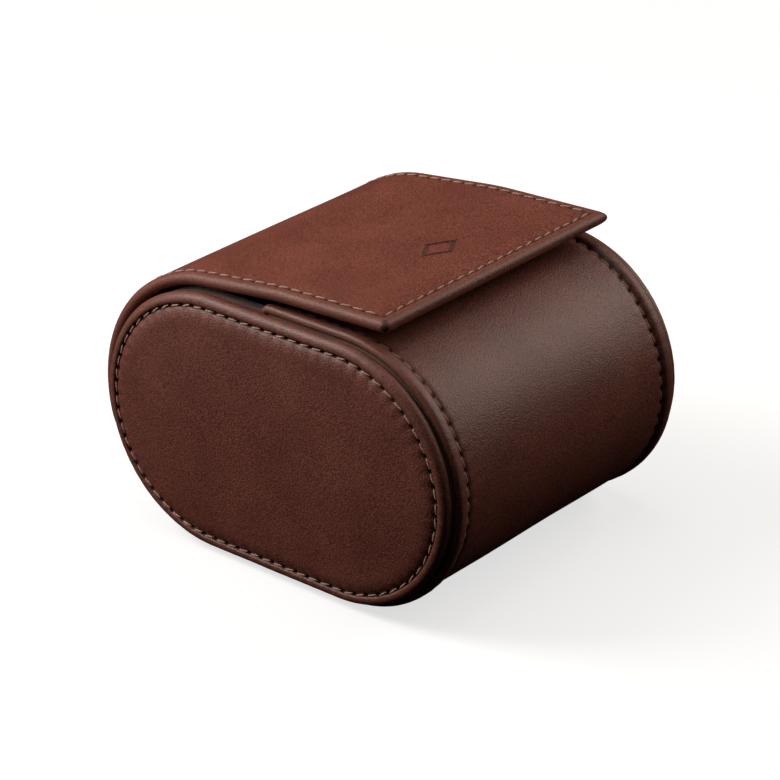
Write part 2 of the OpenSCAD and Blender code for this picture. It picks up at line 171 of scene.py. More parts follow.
def seamShape(along, across, pitch, first):
    # Shares of the valley, of a needle hole and of the swell between holes, at a place beside a seam
    phase = (along - first) / pitch
    toHole = (phase - math.floor(phase) - 0.5) * pitch
    valley = math.exp(-(across / 0.9) ** 2)
    hole = math.exp(-(toHole / 0.42) ** 2 - (across / 0.36) ** 2)
    swell = math.cos(2 * math.pi * phase) * math.exp(-(across / 2.4) ** 2)
    return valley, hole, swell


def press(bm, shape):
    # Moves each point along its normal by shape(vert) mm
    moves = [(v, v.normal * shape(v)) for v in bm.verts]
    for vert, step in moves:
        vert.co += step


def unevenness(co, size, depth):
    # Slow rise and fall of leather that was laid over board by hand
    return depth * noise.noise(co / size)


def finishPiece(bm, name, material, body, replaced=(), slot=None, sharp=None):
    bmesh.ops.scale(bm, vec=(mm, mm, mm), verts=bm.verts[:])
    bm.normal_update()
    for face in bm.faces:
        face.smooth = True
    mesh = bpy.data.meshes.new(name)
    bm.to_mesh(mesh)
    bm.free()
    if sharp:
        mesh.set_sharp_from_angle(angle=math.radians(sharp))
    piece = bpy.data.objects.new(name, mesh)
    bpy.context.scene.collection.objects.link(piece)
    mesh.materials.append(material)
    if body:
        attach(piece, body)
    if replaced:
        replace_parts(piece, *replaced)
    if slot:
        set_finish(piece, slot)
    return piece


# Finishes

def linear(hexColour):
    # sRGB hex to the linear colour that the shaders take
    parts = [int(hexColour[i:i + 2], 16) / 255 for i in (1, 3, 5)]
    return tuple(c / 12.92 if c <= 0.04045 else ((c + 0.055) / 1.055) ** 2.4 for c in parts) + (1.0,)


def newMaterial(name):
    material = bpy.data.materials.new(name)
    material.use_nodes = True
    material.node_tree.nodes.clear()
    return material


def addNode(material, kind, values=None, **settings):
    # One node, with its settings, and each of its inputs set or linked
    node = material.node_tree.nodes.new("ShaderNode" + kind)
    for key, value in settings.items():
        setattr(node, key, value)
    for key, value in (values or {}).items():
        if isinstance(value, bpy.types.NodeSocket):
            material.node_tree.links.new(value, node.inputs[key])
        else:
            node.inputs[key].default_value = value
    return node


def perMetre(size):
    # Texture scale for a pattern whose cells measure size mm
    return 1 / (size * mm)


# Full-grain calf, drum-dyed and left matt: fine closed pores, slow blotches of dye,
# paler on rolled edges, partly thinner dye where it is pulled and partly a painted highlight
leather = {
    "grainSize": 0.75,
    "poreSize": 0.42,
    "blotchSize": 14,
    "pulled": 0.45,       # how far the colour pales on rolled edges: thinner dye where pulled, and a painted highlight
    "grainDepth": 0.00008,
    "poreDepth": 0.00009,
}


def makeLeather(name, dye, shade, pull, roughness, gloss, mark=False):
    m = newMaterial(name)
    place = addNode(m, "TexCoord").outputs["Object"]
    blotch = addNode(m, "TexNoise", {"Vector": place, "Scale": perMetre(leather["blotchSize"]),
                                     "Detail": 4.0, "Roughness": 0.55})
    speck = addNode(m, "TexNoise", {"Vector": place, "Scale": perMetre(leather["poreSize"]), "Detail": 2.0,
                                    "Roughness": 0.6})
    grain = addNode(m, "TexVoronoi", {"Vector": place, "Scale": perMetre(leather["grainSize"]),
                                      "Randomness": 1.0}, feature="DISTANCE_TO_EDGE")
    tone = addNode(m, "MapRange", {"Value": blotch.outputs["Fac"], "From Min": 0.35, "From Max": 0.68})
    dyed = addNode(m, "Mix", {"Factor": tone.outputs["Result"], "A": linear(dye), "B": linear(shade)},
                   data_type="RGBA")
    # The speck scatters light and dark over the closed pores
    level = addNode(m, "MapRange", {"Value": speck.outputs["Fac"], "From Min": 0.36, "From Max": 0.64,
                                    "To Min": 0.58, "To Max": 1.46})
    specked = addNode(m, "VectorMath", {0: dyed.outputs["Result"], "Scale": level.outputs["Result"]},
                      operation="SCALE")
    # Rolled edges are mixed toward the paler colour: partly dye thinned where it is pulled, partly a painted
    # highlight
    edge = addNode(m, "Attribute", attribute_name="edge")
    share = addNode(m, "Math", {0: edge.outputs["Fac"], 1: leather["pulled"]}, operation="MULTIPLY")
    pullAndSheenShare = addNode(m, "Math", {0: share.outputs["Value"], 1: blotch.outputs["Fac"]}, operation="MULTIPLY")
    pulled = addNode(m, "Mix", {"Factor": pullAndSheenShare.outputs["Value"], "A": specked.outputs["Vector"],
                                "B": linear(pull)}, data_type="RGBA")
    # Painted shade: needle holes, seam valleys and the lid's mitre creases are darkened toward near black
    paintedShade = addNode(m, "Attribute", attribute_name="paintedShade")
    dark = addNode(m, "Mix", {"Factor": paintedShade.outputs["Fac"], "A": pulled.outputs["Result"],
                              "B": linear("#0d0706")}, data_type="RGBA")
    rough = addNode(m, "MapRange", {"Value": speck.outputs["Fac"], "From Min": 0.3, "From Max": 0.7,
                                    "To Min": roughness - 0.05, "To Max": roughness + 0.06})
    closed = addNode(m, "MapRange", {"Value": grain.outputs["Distance"], "From Min": 0.0, "From Max": 0.22})
    pores = addNode(m, "Bump", {"Height": speck.outputs["Fac"], "Strength": 0.7,
                                "Distance": leather["poreDepth"]})
    pebbles = addNode(m, "Bump", {"Height": closed.outputs["Result"], "Strength": 0.35,
                                  "Distance": leather["grainDepth"], "Normal": pores.outputs["Normal"]})
    normal = pebbles.outputs["Normal"]
    colour = dark.outputs["Result"]
    if mark:
        normal, colour = blindMark(m, place, normal, colour)
    shader = addNode(m, "BsdfPrincipled", {"Base Color": colour, "Roughness": rough.outputs["Result"],
                                           "Normal": normal, "IOR": 1.5, "Specular IOR Level": gloss})
    addNode(m, "OutputMaterial", {"Surface": shader.outputs["BSDF"]})
    return m


# Small plain lozenge pressed blind into the lid near its free edge
blindStamp = {
    "y": -15.0,
    "halfWidth": 5.6,
    "halfDepth": 3.4,
    "line": 0.24,     # half width of the pressed line, as a share of the lozenge
    "sink": 0.0012,
}


def blindMark(m, place, normal, colour):
    parts = addNode(m, "SeparateXYZ", {0: place})
    across = addNode(m, "Math", {0: parts.outputs["X"], 1: 1 / (blindStamp["halfWidth"] * mm)},
                     operation="MULTIPLY")
    reach = addNode(m, "Math", {0: parts.outputs["Y"], 1: -blindStamp["y"] * mm}, operation="ADD")
    deep = addNode(m, "Math", {0: reach.outputs["Value"], 1: 1 / (blindStamp["halfDepth"] * mm)},
                   operation="MULTIPLY")
    sizes = [addNode(m, "Math", {0: n.outputs["Value"]}, operation="ABSOLUTE") for n in (across, deep)]
    lozenge = addNode(m, "Math", {0: sizes[0].outputs["Value"], 1: sizes[1].outputs["Value"]},
                      operation="ADD")
    ring = addNode(m, "Math", {0: lozenge.outputs["Value"], 1: 1.0}, operation="SUBTRACT")
    away = addNode(m, "Math", {0: ring.outputs["Value"]}, operation="ABSOLUTE")
    pressed = addNode(m, "MapRange", {"Value": away.outputs["Value"], "From Min": 0.0,
                                      "From Max": blindStamp["line"], "To Min": 1.0, "To Max": 0.0},
                      interpolation_type="SMOOTHSTEP")
    up = addNode(m, "Math", {0: parts.outputs["Z"], 1: 0.06}, operation="GREATER_THAN")
    shown = addNode(m, "Math", {0: pressed.outputs["Result"], 1: up.outputs["Value"]}, operation="MULTIPLY")
    stamp = addNode(m, "Bump", {"Height": shown.outputs["Value"], "Strength": 1.0,
                                "Distance": blindStamp["sink"], "Normal": normal}, invert=True)
    # The pressed line is also made darker in colour
    share = addNode(m, "Math", {0: shown.outputs["Value"], 1: 0.4}, operation="MULTIPLY")
    pressedDarker = addNode(m, "Mix", {"Factor": share.outputs["Value"], "A": colour, "B": linear("#2a120c")},
                    data_type="RGBA")
    return stamp.outputs["Normal"], pressedDarker.outputs["Result"]


# Waxed linen thread, two plies laid round each other
def makeThread():
    m = newMaterial("waxedLinenThread")
    place = addNode(m, "UVMap", uv_map="lay").outputs["UV"]
    laid = addNode(m, "Mapping", {"Vector": place, "Rotation": (0, 0, math.radians(38)),
                                  "Scale": (3, 5, 1)})
    ply = addNode(m, "TexWave", {"Vector": laid.outputs["Vector"], "Scale": 1.0, "Distortion": 0.6})
    fuzz = addNode(m, "TexNoise", {"Vector": addNode(m, "TexCoord").outputs["Object"],
                                   "Scale": perMetre(0.3), "Detail": 2.0})
    tone = addNode(m, "Mix", {"Factor": ply.outputs["Fac"], "A": linear("#a77c6c"), "B": linear("#dcb5a3")},
                   data_type="RGBA")
    dusty = addNode(m, "Mix", {"Factor": fuzz.outputs["Fac"], "A": tone.outputs["Result"],
                               "B": linear("#bb8f7d")}, data_type="RGBA")
    bump = addNode(m, "Bump", {"Height": ply.outputs["Fac"], "Strength": 0.6, "Distance": 0.00012})
    shader = addNode(m, "BsdfPrincipled", {"Base Color": dusty.outputs["Result"], "Roughness": 0.6,
                                           "Normal": bump.outputs["Normal"], "Sheen Weight": 0.15})
    addNode(m, "OutputMaterial", {"Surface": shader.outputs["BSDF"]})
    return m


# Microfibre suede, its raised nap brushed one way: soft streaks where the fibres lie over,
# and a dull bloom at grazing light
def makeMicrofibre(name, deep, light):
    m = newMaterial(name)
    place = addNode(m, "TexCoord").outputs["Object"]
    brushed = addNode(m, "Mapping", {"Vector": place, "Scale": (1, 1.6, 1.6)})
    streak = addNode(m, "TexNoise", {"Vector": brushed.outputs["Vector"], "Scale": perMetre(11),
                                     "Detail": 4.0})
    nap = addNode(m, "TexNoise", {"Vector": place, "Scale": perMetre(0.3), "Detail": 3.0, "Roughness": 0.7})
    lay = addNode(m, "MapRange", {"Value": streak.outputs["Fac"], "From Min": 0.25, "From Max": 0.75})
    tone = addNode(m, "Mix", {"Factor": lay.outputs["Result"], "A": linear(deep), "B": linear(light)},
                   data_type="RGBA")
    level = addNode(m, "MapRange", {"Value": nap.outputs["Fac"], "From Min": 0.3, "From Max": 0.7,
                                    "To Min": 0.72, "To Max": 1.28})
    fibres = addNode(m, "VectorMath", {0: tone.outputs["Result"], "Scale": level.outputs["Result"]},
                     operation="SCALE")
    bump = addNode(m, "Bump", {"Height": nap.outputs["Fac"], "Strength": 0.5, "Distance": 0.00015})
    shader = addNode(m, "BsdfPrincipled", {"Base Color": fibres.outputs["Vector"], "Roughness": 0.92,
                                           "Normal": bump.outputs["Normal"], "Specular IOR Level": 0.25,
                                           "Sheen Weight": 0.35, "Sheen Roughness": 0.4})
    addNode(m, "OutputMaterial", {"Surface": shader.outputs["BSDF"]})
    return m


# Grey binder's board, pressed from waste paper: pale and dark flecks in a matt grey-brown
def makeBoard():
    m = newMaterial("bindersBoard")
    place = addNode(m, "TexCoord").outputs["Object"]
    pulp = addNode(m, "TexNoise", {"Vector": place, "Scale": perMetre(0.8), "Detail": 5.0,
                                   "Roughness": 0.7})
    fleck = addNode(m, "TexVoronoi", {"Vector": place, "Scale": perMetre(1.6)})
    tone = addNode(m, "Mix", {"Factor": pulp.outputs["Fac"], "A": linear("#6f6455"),
                              "B": linear("#9a8c78")}, data_type="RGBA")
    flecked = addNode(m, "MapRange", {"Value": fleck.outputs["Distance"], "From Min": 0.04,
                                      "From Max": 0.12, "To Min": 0.6, "To Max": 1.0})
    colour = addNode(m, "VectorMath", {0: tone.outputs["Result"], "Scale": flecked.outputs["Result"]},
                     operation="SCALE")
    bump = addNode(m, "Bump", {"Height": pulp.outputs["Fac"], "Strength": 0.4, "Distance": 0.0001})
    shader = addNode(m, "BsdfPrincipled", {"Base Color": colour.outputs["Vector"], "Roughness": 0.9,
                                           "Normal": bump.outputs["Normal"]})
    addNode(m, "OutputMaterial", {"Surface": shader.outputs["BSDF"]})
    return m


# Open-cell polyurethane foam: cream, with round cells about half a millimetre wide
def makeFoam():
    m = newMaterial("polyurethaneFoam")
    place = addNode(m, "TexCoord").outputs["Object"]
    cells = addNode(m, "TexVoronoi", {"Vector": place, "Scale": perMetre(0.6)})
    tone = addNode(m, "Mix", {"Factor": cells.outputs["Distance"], "A": linear("#a89d83"),
                              "B": linear("#e2dac6")}, data_type="RGBA")
    bump = addNode(m, "Bump", {"Height": cells.outputs["Distance"], "Strength": 0.6, "Distance": 0.0002})
    shader = addNode(m, "BsdfPrincipled", {"Base Color": tone.outputs["Result"], "Roughness": 0.95,
                                           "Normal": bump.outputs["Normal"]})
    addNode(m, "OutputMaterial", {"Surface": shader.outputs["BSDF"]})
    return m


# Brass with an antique finish: darkened in the bath, then relieved so that the high parts shine through
def makeBrass():
    m = newMaterial("antiqueBrass")
    place = addNode(m, "TexCoord").outputs["Object"]
    patina = addNode(m, "TexNoise", {"Vector": place, "Scale": perMetre(2.2), "Detail": 4.0})
    ground = addNode(m, "TexNoise", {"Vector": place, "Scale": perMetre(0.25), "Detail": 1.0})
    spread = addNode(m, "MapRange", {"Value": patina.outputs["Fac"], "From Min": 0.38, "From Max": 0.62})
    tone = addNode(m, "Mix", {"Factor": spread.outputs["Result"], "A": linear("#5b4a35"),
                              "B": linear("#a88a5c")}, data_type="RGBA")
    rough = addNode(m, "MapRange", {"Value": patina.outputs["Fac"], "From Min": 0.3, "From Max": 0.7,
                                    "To Min": 0.45, "To Max": 0.28})
    bump = addNode(m, "Bump", {"Height": ground.outputs["Fac"], "Strength": 0.2, "Distance": 0.00003})
    shader = addNode(m, "BsdfPrincipled", {"Base Color": tone.outputs["Result"], "Metallic": 1.0,
                                           "Roughness": rough.outputs["Result"],
                                           "Normal": bump.outputs["Normal"]})
    addNode(m, "OutputMaterial", {"Surface": shader.outputs["BSDF"]})
    return m


# The third colour is the paler edge colour: pulled dye with a painted highlight
bodyLeather = makeLeather("drumDyedCalf", "#764236", "#6a382e", "#7c5749", 0.45, 0.5)
lidLeather = makeLeather("drumDyedCalfOfLid", "#7d4538", "#703b2f", "#7c5749", 0.47, 0.4, mark=True)
thread = makeThread()
lining = makeMicrofibre("microfibreSuede", "#4d362e", "#6a4c40")
pillowCloth = makeMicrofibre("microfibreSuedeOfCushion", "#4d3a30", "#6a5244")
board = makeBoard()
foam = makeFoam()
brass = makeBrass()
print("finishes made")


# Padded caps: leather drawn over thin foam, pulled down at the seam and rolled over the board's edge

cap = {
    "crown": 45.9,          # middle of the face, from the middle of the case
    "fall": 0.9,
    "shoulderRadius": 24.6,
    "seamRadius": 29.5,
    "seamDistance": 43.8,
    "threadDistance": 44.05,
    "rollRadius": 1.8,
    "rollMiddle": (30.6, 42.5),
    "backDistance": 40.42,
    "board": (30.0, 42.5, 28.6, 42.9),    # the leather turns in round the board's edge
    "leather": 1.2,
    "foamGap": 1.25,        # from the leather's outside down to the foam
    "foamFoot": 42.45,
    "workedFrom": 42.95,    # further in, the leather is out of sight and stays smooth
    "valleyDepth": 0.1,
    "holeDepth": 0.42,
    "swellHeight": 0.07,
    "step": 0.45,
}
shoulderTurn = 0.96         # share of a quarter round that the shoulder goes through
seamDrop = cap["crown"] - cap["fall"] - cap["seamDistance"]
capLength = 2 * math.pi * cap["seamRadius"] + 4 * section["halfFlat"]
capStitches = round(capLength / seams["pitch"])
capPitch = capLength / capStitches


def capFace(radius):
    # Height of the padded face: a low crown, then a round shoulder down to the seam
    if radius < cap["shoulderRadius"]:
        return cap["crown"] - cap["fall"] * (radius / cap["shoulderRadius"]) ** 2
    share = min(1, (radius - cap["shoulderRadius"]) / (cap["seamRadius"] - cap["shoulderRadius"]))
    full = 1 - math.sqrt(1 - shoulderTurn ** 2)
    return cap["crown"] - cap["fall"] - seamDrop * (1 - math.sqrt(1 - (shoulderTurn * share) ** 2)) / full


def ovalMoves(radius, step):
    half = section["halfFlat"]
    return [(-half, 0, step), (frontY, midZ, 180, radius, step), (2 * half, 0, step),
            (backY, midZ, 180, radius, step), (-half, 0, step)]


def fromOval(co):
    # Distance of a point from the oval's middle line
    y = co.y - section["middleY"]
    over = abs(y) - section["halfFlat"]
    return math.hypot(max(0, over), co.z - midZ)


def makeCap(name, side, cadNodes):
    bm = newMesh()
    face = [0, 5, 10, 15, 19, 21.5, 23.2, 24.6, 25.6, 26.5, 27.3, 28, 28.5, 28.85, 29.1, 29.3]
    profile = [(r, capFace(r)) for r in face] + [(29.5, 43.8), (29.68, 43.86), (29.86, 44.02)]
    middle, radius = cap["rollMiddle"], cap["rollRadius"]
    for angle in range(108, -76, -13):
        profile.append((middle[0] + radius * math.cos(math.radians(angle)),
                        middle[1] + radius * math.sin(math.radians(angle))))
    boardRadius, boardTop, insideRadius, insideTop = cap["board"]
    profile += [(boardRadius + 0.45, cap["backDistance"]), (boardRadius, cap["backDistance"]),
                (boardRadius, boardTop), (insideRadius, insideTop)]
    profile += [(r, capFace(r) - cap["leather"]) for r in (27.6, 24, 16, 8, 0)]
    points = [(side * u, section["middleY"], midZ + r) for r, u in profile]
    sweep(bm, chain(bm, points), ovalMoves(cap["seamRadius"], cap["step"]))
    closeUp(bm)
    along, paintedShade, edge = (bm.verts.layers.float[n] for n in ("along", "paintedShade", "edge"))

    def shape(vert):
        radius = fromOval(vert.co)
        out = abs(vert.co.x)
        if out < cap["workedFrom"]:
            return 0
        valley, hole, swell = seamShape(vert[along], radius - cap["seamRadius"], capPitch, 0)
        # Painted shade in the needle holes and along the seam's valley
        vert[paintedShade] = min(1, 0.85 * hole + 0.12 * valley)
        if radius > cap["seamRadius"] + 0.4:
            # The rolled edge takes the paler colour: pulled dye and a painted highlight
            vert[edge] = min(1, (radius - cap["seamRadius"] - 0.4) / 0.8)
            return 0.03 * swell + unevenness(vert.co, 11, 0.06)
        laid = unevenness(vert.co, 16, 0.14) * min(1, (cap["seamRadius"] - radius) / 4)
        return laid - cap["valleyDepth"] * valley - cap["holeDepth"] * hole + cap["swellHeight"] * swell

    press(bm, shape)
    piece = finishPiece(bm, name, bodyLeather, "case", cadNodes, "body_leather")
    return piece


def makeCapFoam(name, side, cadNode):
    bm = newMesh()
    profile = [(r, capFace(r) - cap["foamGap"]) for r in (0, 8, 16, 22, 24.6, 26, 27.2, 28, 28.4)]
    profile += [(28.4, cap["foamFoot"]), (0, cap["foamFoot"])]
    points = [(side * u, section["middleY"], midZ + r) for r, u in profile]
    sweep(bm, chain(bm, points), ovalMoves(cap["seamRadius"], 2.0))
    closeUp(bm)
    return finishPiece(bm, name, foam, "case", [cadNode], "foam", sharp=40)


for side, word in ((-1, "left"), (1, "right")):
    makeCap(word + "CapLeather", side, [word + "_cap_leather"])
    makeCapFoam(word + "CapFoam", side, word + "_cap_foam")
print("caps made")


# Stitches: each one runs from hole to hole and leans a little across its seam

def stitchRow(name, places, body, cadNode, thickness=seams["thick"]):
    # places holds (point, direction along the seam, direction out of the leather) for each stitch, in mm
    bm = newMesh()
    bm.loops.layers.uv.new("lay")
    half, thick = seams["length"] / 2, thickness / 2
    for number, (point, seamWay, outWay) in enumerate(places):
        lean = math.radians(seams["lean"] + 4 * math.sin(number * 2.4))
        way = seamWay * math.cos(lean) + outWay.cross(seamWay) * math.sin(lean)
        across = outWay.cross(way)
        frameOf = Matrix((across, outWay, way)).transposed().to_4x4()
        made = bmesh.ops.create_uvsphere(bm, u_segments=8, v_segments=6, radius=1.0, calc_uvs=True)["verts"]
        for vert in made:
            t = vert.co.z
            vert.co.z = t * (1.3 - 0.3 * t * t)        # fuller towards both ends
            vert.co.y = vert.co.y - 0.55 * t ** 4      # dives into its holes
        bmesh.ops.scale(bm, vec=(thick, thick, half), verts=made)
        bmesh.ops.transform(bm, matrix=Matrix.Translation(point) @ frameOf, verts=made)
    bmesh.ops.recalc_face_normals(bm, faces=bm.faces[:])
    return finishPiece(bm, name, thread, body, [cadNode], "thread")


def sideStitches(u, radius, count, start, gap, outward=None):
    # Stitches round the oval at distance u from the middle; outward is +1 or -1 where the leather faces X
    places = []
    for number in range(count):
        point, angle = ovalPlace(start + number * gap, radius)
        way = turn(angle + 90)
        point = point + Vector((u, 0, 0))
        places.append((point, way, Vector((outward, 0, 0)) if outward else turn(angle)))
    return places


def crossStitches(point, outWay, count):
    right = Vector((1, 0, 0))
    return [(point + (n - (count - 1) / 2) * seams["pitch"] * right, right, outWay) for n in range(count)]


for side, word in ((-1, "left"), (1, "right")):
    capRow = sideStitches(side * cap["threadDistance"], cap["seamRadius"], capStitches, 0, capPitch, side)
    stitchRow(word + "CapThread", capRow, "case", word + "_cap_thread")


# Wrap: one strip of leather round the shell, with a raised band sewn along both ends

wrap = {
    "radius": 33.2,
    "bandRadius": 33.9,
    "halfLength": 40.9,
    "inner": 32.0,
    "seam": 36.8,
    "seamRadius": 32.9,
    "edgeRound": 0.95,
    "lip": 1.2,           # the leather turns over the shell's edge at the mouth
    "lipFoot": 29.0,
    "lipHalf": 40.3,
    "plateFrom": 37.1,    # the end plates begin here, and their rim reaches plateRim
    "plateRim": 30.3,
    "workedFrom": 32.5,   # further in, the leather is out of sight and stays smooth
    "valleyDepth": 0.06,
    "holeDepth": 0.4,
    "swellHeight": 0.05,
    "mouthHalf": 34,      # the row of stitches at the mouth reaches this far
    "mouthInset": 3,
    "mouthValley": 0.15,
    "mouthHole": 0.35,
    "step": 0.45,
}
wrapStart = -section["mouthY"] + seams["pitch"]
wrapStop = (3 * section["halfFlat"] + (math.pi + math.radians(90 + section["hingeAngle"]))
            * wrap["seamRadius"] - seams["pitch"])
wrapStitches = round((wrapStop - wrapStart) / seams["pitch"])
wrapPitch = (wrapStop - wrapStart) / wrapStitches
for side, word in ((-1, "left"), (1, "right")):
    wrapRow = sideStitches(side * wrap["seam"], wrap["seamRadius"], wrapStitches + 1, wrapStart, wrapPitch)
    stitchRow(word + "WrapThread", wrapRow, "case", word + "_wrap_thread", seams["wrapThick"])

mouthRow = section["middleY"] + section["mouthY"] - wrap["mouthInset"]
mouthPlace = Vector((0, mouthRow, midZ + wrap["radius"] - 0.04))
stitchRow("mouthThread", crossStitches(mouthPlace, Vector((0, 0, 1)), 19), "case", "mouth_thread")
print("stitches sewn")


def makeWrap():
    bm = newMesh()
    round0 = wrap["edgeRound"]
    half = [(0, 33.2), (9, 33.2), (18, 33.2), (26, 33.2), (31, 33.2), (33.6, 33.2), (35, 33.2),
            (35.8, 33.18), (36.2, 33.1), (36.5, 33.0), (36.8, 32.95), (37.05, 33.03), (37.3, 33.2),
            (37.6, 33.45), (37.95, 33.68), (38.35, 33.84), (38.9, 33.9), (39.45, 33.92)]
    for angle in (90, 66, 42, 18, 0):
        half.append((wrap["halfLength"] - round0 + round0 * math.cos(math.radians(angle)),
                     wrap["bandRadius"] - round0 + round0 * math.sin(math.radians(angle))))
    half += [(wrap["halfLength"], 32.4), (40.6, 32.02), (wrap["lipHalf"], wrap["inner"]),
             (37.15, wrap["inner"]), (18, wrap["inner"])]
    outline = [(u, r) for u, r in half] + [(-u, r) for u, r in reversed(half[1:])]
    startY = section["middleY"] + section["mouthY"] - wrap["lip"]
    lipTurn = math.degrees(wrap["lip"] / wrap["inner"])
    lastAngle = section["hingeAngle"] - lipTurn
    ring = chain(bm, [(u, startY, midZ + r) for u, r in outline], closed=True)
    first = -(section["mouthY"] - wrap["lip"])
    flat = section["halfFlat"]
    radius, step = wrap["seamRadius"], wrap["step"]
    backRing = sweep(bm, ring, [(first - flat, 0, step), (frontY, midZ, 180, radius, step),
                                (2 * flat, 0, step), (backY, midZ, 90 + lastAngle, radius, step)], first)
    # The two edges of the mouth turn in over the shell and down to the lining
    lipDepth = wrap["inner"] - wrap["lipFoot"]
    sweep(bm, ring, [(startY, midZ + wrap["inner"], -90, wrap["lip"], 0.3), (0, -lipDepth, 0.6)], first)
    corner = Vector((0, backY, midZ)) + wrap["inner"] * turn(lastAngle)
    inward = -lipDepth * turn(lastAngle)
    sweep(bm, backRing, [(corner.y, corner.z, 90, wrap["lip"], 0.3), (inward.y, inward.z, 0.6)], wrapStop)
    closeUp(bm)
    # Finer columns where the row of stitches crosses in front of the mouth
    crossing = [e for e in bm.edges if abs(e.verts[0].co.x - e.verts[1].co.x) > 1
                and all(abs(v.co.y - mouthRow) < 1.7 and v.co.z > midZ + 33 for v in e.verts)]
    for width in sorted({round(e.calc_length(), 2) for e in crossing}):
        same = [e for e in crossing if e.is_valid and abs(e.calc_length() - width) < 0.01]
        bmesh.ops.subdivide_edges(bm, edges=same, cuts=round(width / 0.6) - 1, use_grid_fill=True)
    along, paintedShade, edge = (bm.verts.layers.float[n] for n in ("along", "paintedShade", "edge"))
    for vert in bm.verts:
        radius = fromOval(vert.co)
        if radius < wrap["inner"] - 0.05:
            atFront = vert.co.y < backY
            if abs(vert.co.x) > wrap["plateFrom"]:
                # Where the end plates stand, the lip stops at their rim
                lift = max(0, wrap["plateRim"] - radius)
                vert.co += lift * (Vector((0, 0, 1)) if atFront else turn(lastAngle))
            vert.co.x = max(-wrap["lipHalf"], min(wrap["lipHalf"], vert.co.x))
            if atFront:
                vert.co.y = min(vert.co.y, section["middleY"] + section["mouthY"] - 0.02)

    def shape(vert):
        radius = fromOval(vert.co)
        if radius < wrap["workedFrom"]:
            return 0
        across = abs(vert.co.x) - wrap["seam"]
        sewn = wrapStart - 1.8 < vert[along] < wrapStop + 1.8
        valley, hole, swell = seamShape(vert[along], across, wrapPitch, wrapStart) if sewn else (0, 0, 0)
        mouth = seamShape(vert.co.x, vert.co.y - mouthRow, seams["pitch"], 0)
        if vert.co.z < midZ or abs(vert.co.x) > wrap["mouthHalf"]:
            mouth = (0, 0, 0)
        # Painted shade in the needle holes and seam valleys, at the ends and across the mouth
        vert[paintedShade] = min(1, 1.1 * hole + 0.2 * valley + 1.1 * mouth[1] + 0.2 * mouth[0])
        # The band's rolled edge takes the paler colour: pulled dye and a painted highlight
        vert[edge] = max(0, min(1, (across - 0.5) / 1.2))
        laid = unevenness(vert.co, 22, 0.16) * max(0, min(1, -across / 6)) + unevenness(vert.co, 9, 0.03)
        sewnAcross = wrap["mouthValley"] * mouth[0] + wrap["mouthHole"] * mouth[1]
        return (laid - wrap["valleyDepth"] * valley - wrap["holeDepth"] * hole + wrap["swellHeight"] * swell
                - sewnAcross)

    press(bm, shape)
    return finishPiece(bm, "wrapLeather", bodyLeather, "case", ["outer_wrap"], "body_leather")


makeWrap()
print("wrap made")


# Lid: stiff board in leather, its edges rolled over and mitred at the corners

lid = {
    "radius": 36.1,
    "thick": 3.1,
    "half": 41.2,
    "foot": -18.3,         # lowest edge, in degrees from straight back
    "slope": 7,
    "rear": 20,
    "bendRadius": 90,
    "frontSlope": 2.4,
    "reach": 31.9,
    "seamInset": 3,
    "step": 0.6,
    "rollSteps": 12,
    "liningHalf": 37.2,
    "liningMargin": 4,
    "liningDepth": 2.2,
    "valleyDepth": 0.22,
    "holeDepth": 0.36,
    "mitreDepth": 0.14,    # crease where two rolled edges meet
}
roll = lid["thick"] / 2
lidFlat = lid["half"] - roll
lidTurn = 90 - lid["slope"]
lidBend = lid["slope"] - lid["frontSlope"]


def slopeWay(slope):
    # Direction along the lid towards its free edge, and the way out of its top
    angle = math.radians(slope)
    return Vector((0, -math.cos(angle), math.sin(angle))), Vector((0, math.sin(angle), math.cos(angle)))


rearWay, rearOut = slopeWay(lid["slope"])
frontWay, frontOut = slopeWay(lid["frontSlope"])
arcMiddle = Vector((0, backY, midZ))
bendFrom = arcMiddle + lid["radius"] * turn(lidTurn) + lid["rear"] * rearWay
bendMiddle = bendFrom - lid["bendRadius"] * rearOut
bendTo = bendMiddle + lid["bendRadius"] * frontOut
lidFall = math.radians(lid["frontSlope"])
lidFront = (bendTo.y - section["middleY"] + lid["reach"] - roll * (1 + math.sin(lidFall))) / math.cos(lidFall)
footAngle = lid["foot"] + math.degrees(roll / (lid["radius"] - roll))
backRun = math.radians(lidTurn - lid["foot"]) * lid["radius"]
footRun = math.radians(footAngle - lid["foot"]) * lid["radius"]
bendRun = math.radians(lidBend) * lid["bendRadius"]
lidLength = backRun + lid["rear"] + bendRun + lidFront + roll


def lidPlace(along, depth):
    # Point and way out of the lid at a distance from its foot and a depth under its top
    rest = along - backRun
    if rest < 0:
        out = turn(lid["foot"] + math.degrees(along / lid["radius"]))
        return arcMiddle + (lid["radius"] - depth) * out, out
    rest -= lid["rear"]
    if rest < 0:
        return bendFrom + rest * rearWay - depth * rearOut, rearOut
    rest -= bendRun
    if rest < 0:
        out = turn(lidTurn + math.degrees((rest + bendRun) / lid["bendRadius"]))
        return bendMiddle + (lid["bendRadius"] - depth) * out, out
    return bendTo + rest * frontWay - depth * frontOut, frontOut


def lidMoves(fromAngle, toRun, step, fineStep=None):
    straight = lid["rear"] * rearWay
    front = toRun * frontWay
    moves = [(backY, midZ, lidTurn - fromAngle, lid["radius"], step), (straight.y, straight.z, step),
             (bendMiddle.y, bendMiddle.z, lidBend, lid["bendRadius"], step)]
    if fineStep:
        return moves + [(front.y * 0.8, front.z * 0.8, step), (front.y * 0.2, front.z * 0.2, fineStep)]
    return moves + [(front.y, front.z, step)]


def ringPoints(points, angle):
    # Points (x, depth) of a cross section of the lid, placed at an angle on its round back
    return [Vector((x, 0, 0)) + arcMiddle + (lid["radius"] - depth) * turn(angle) for x, depth in points]


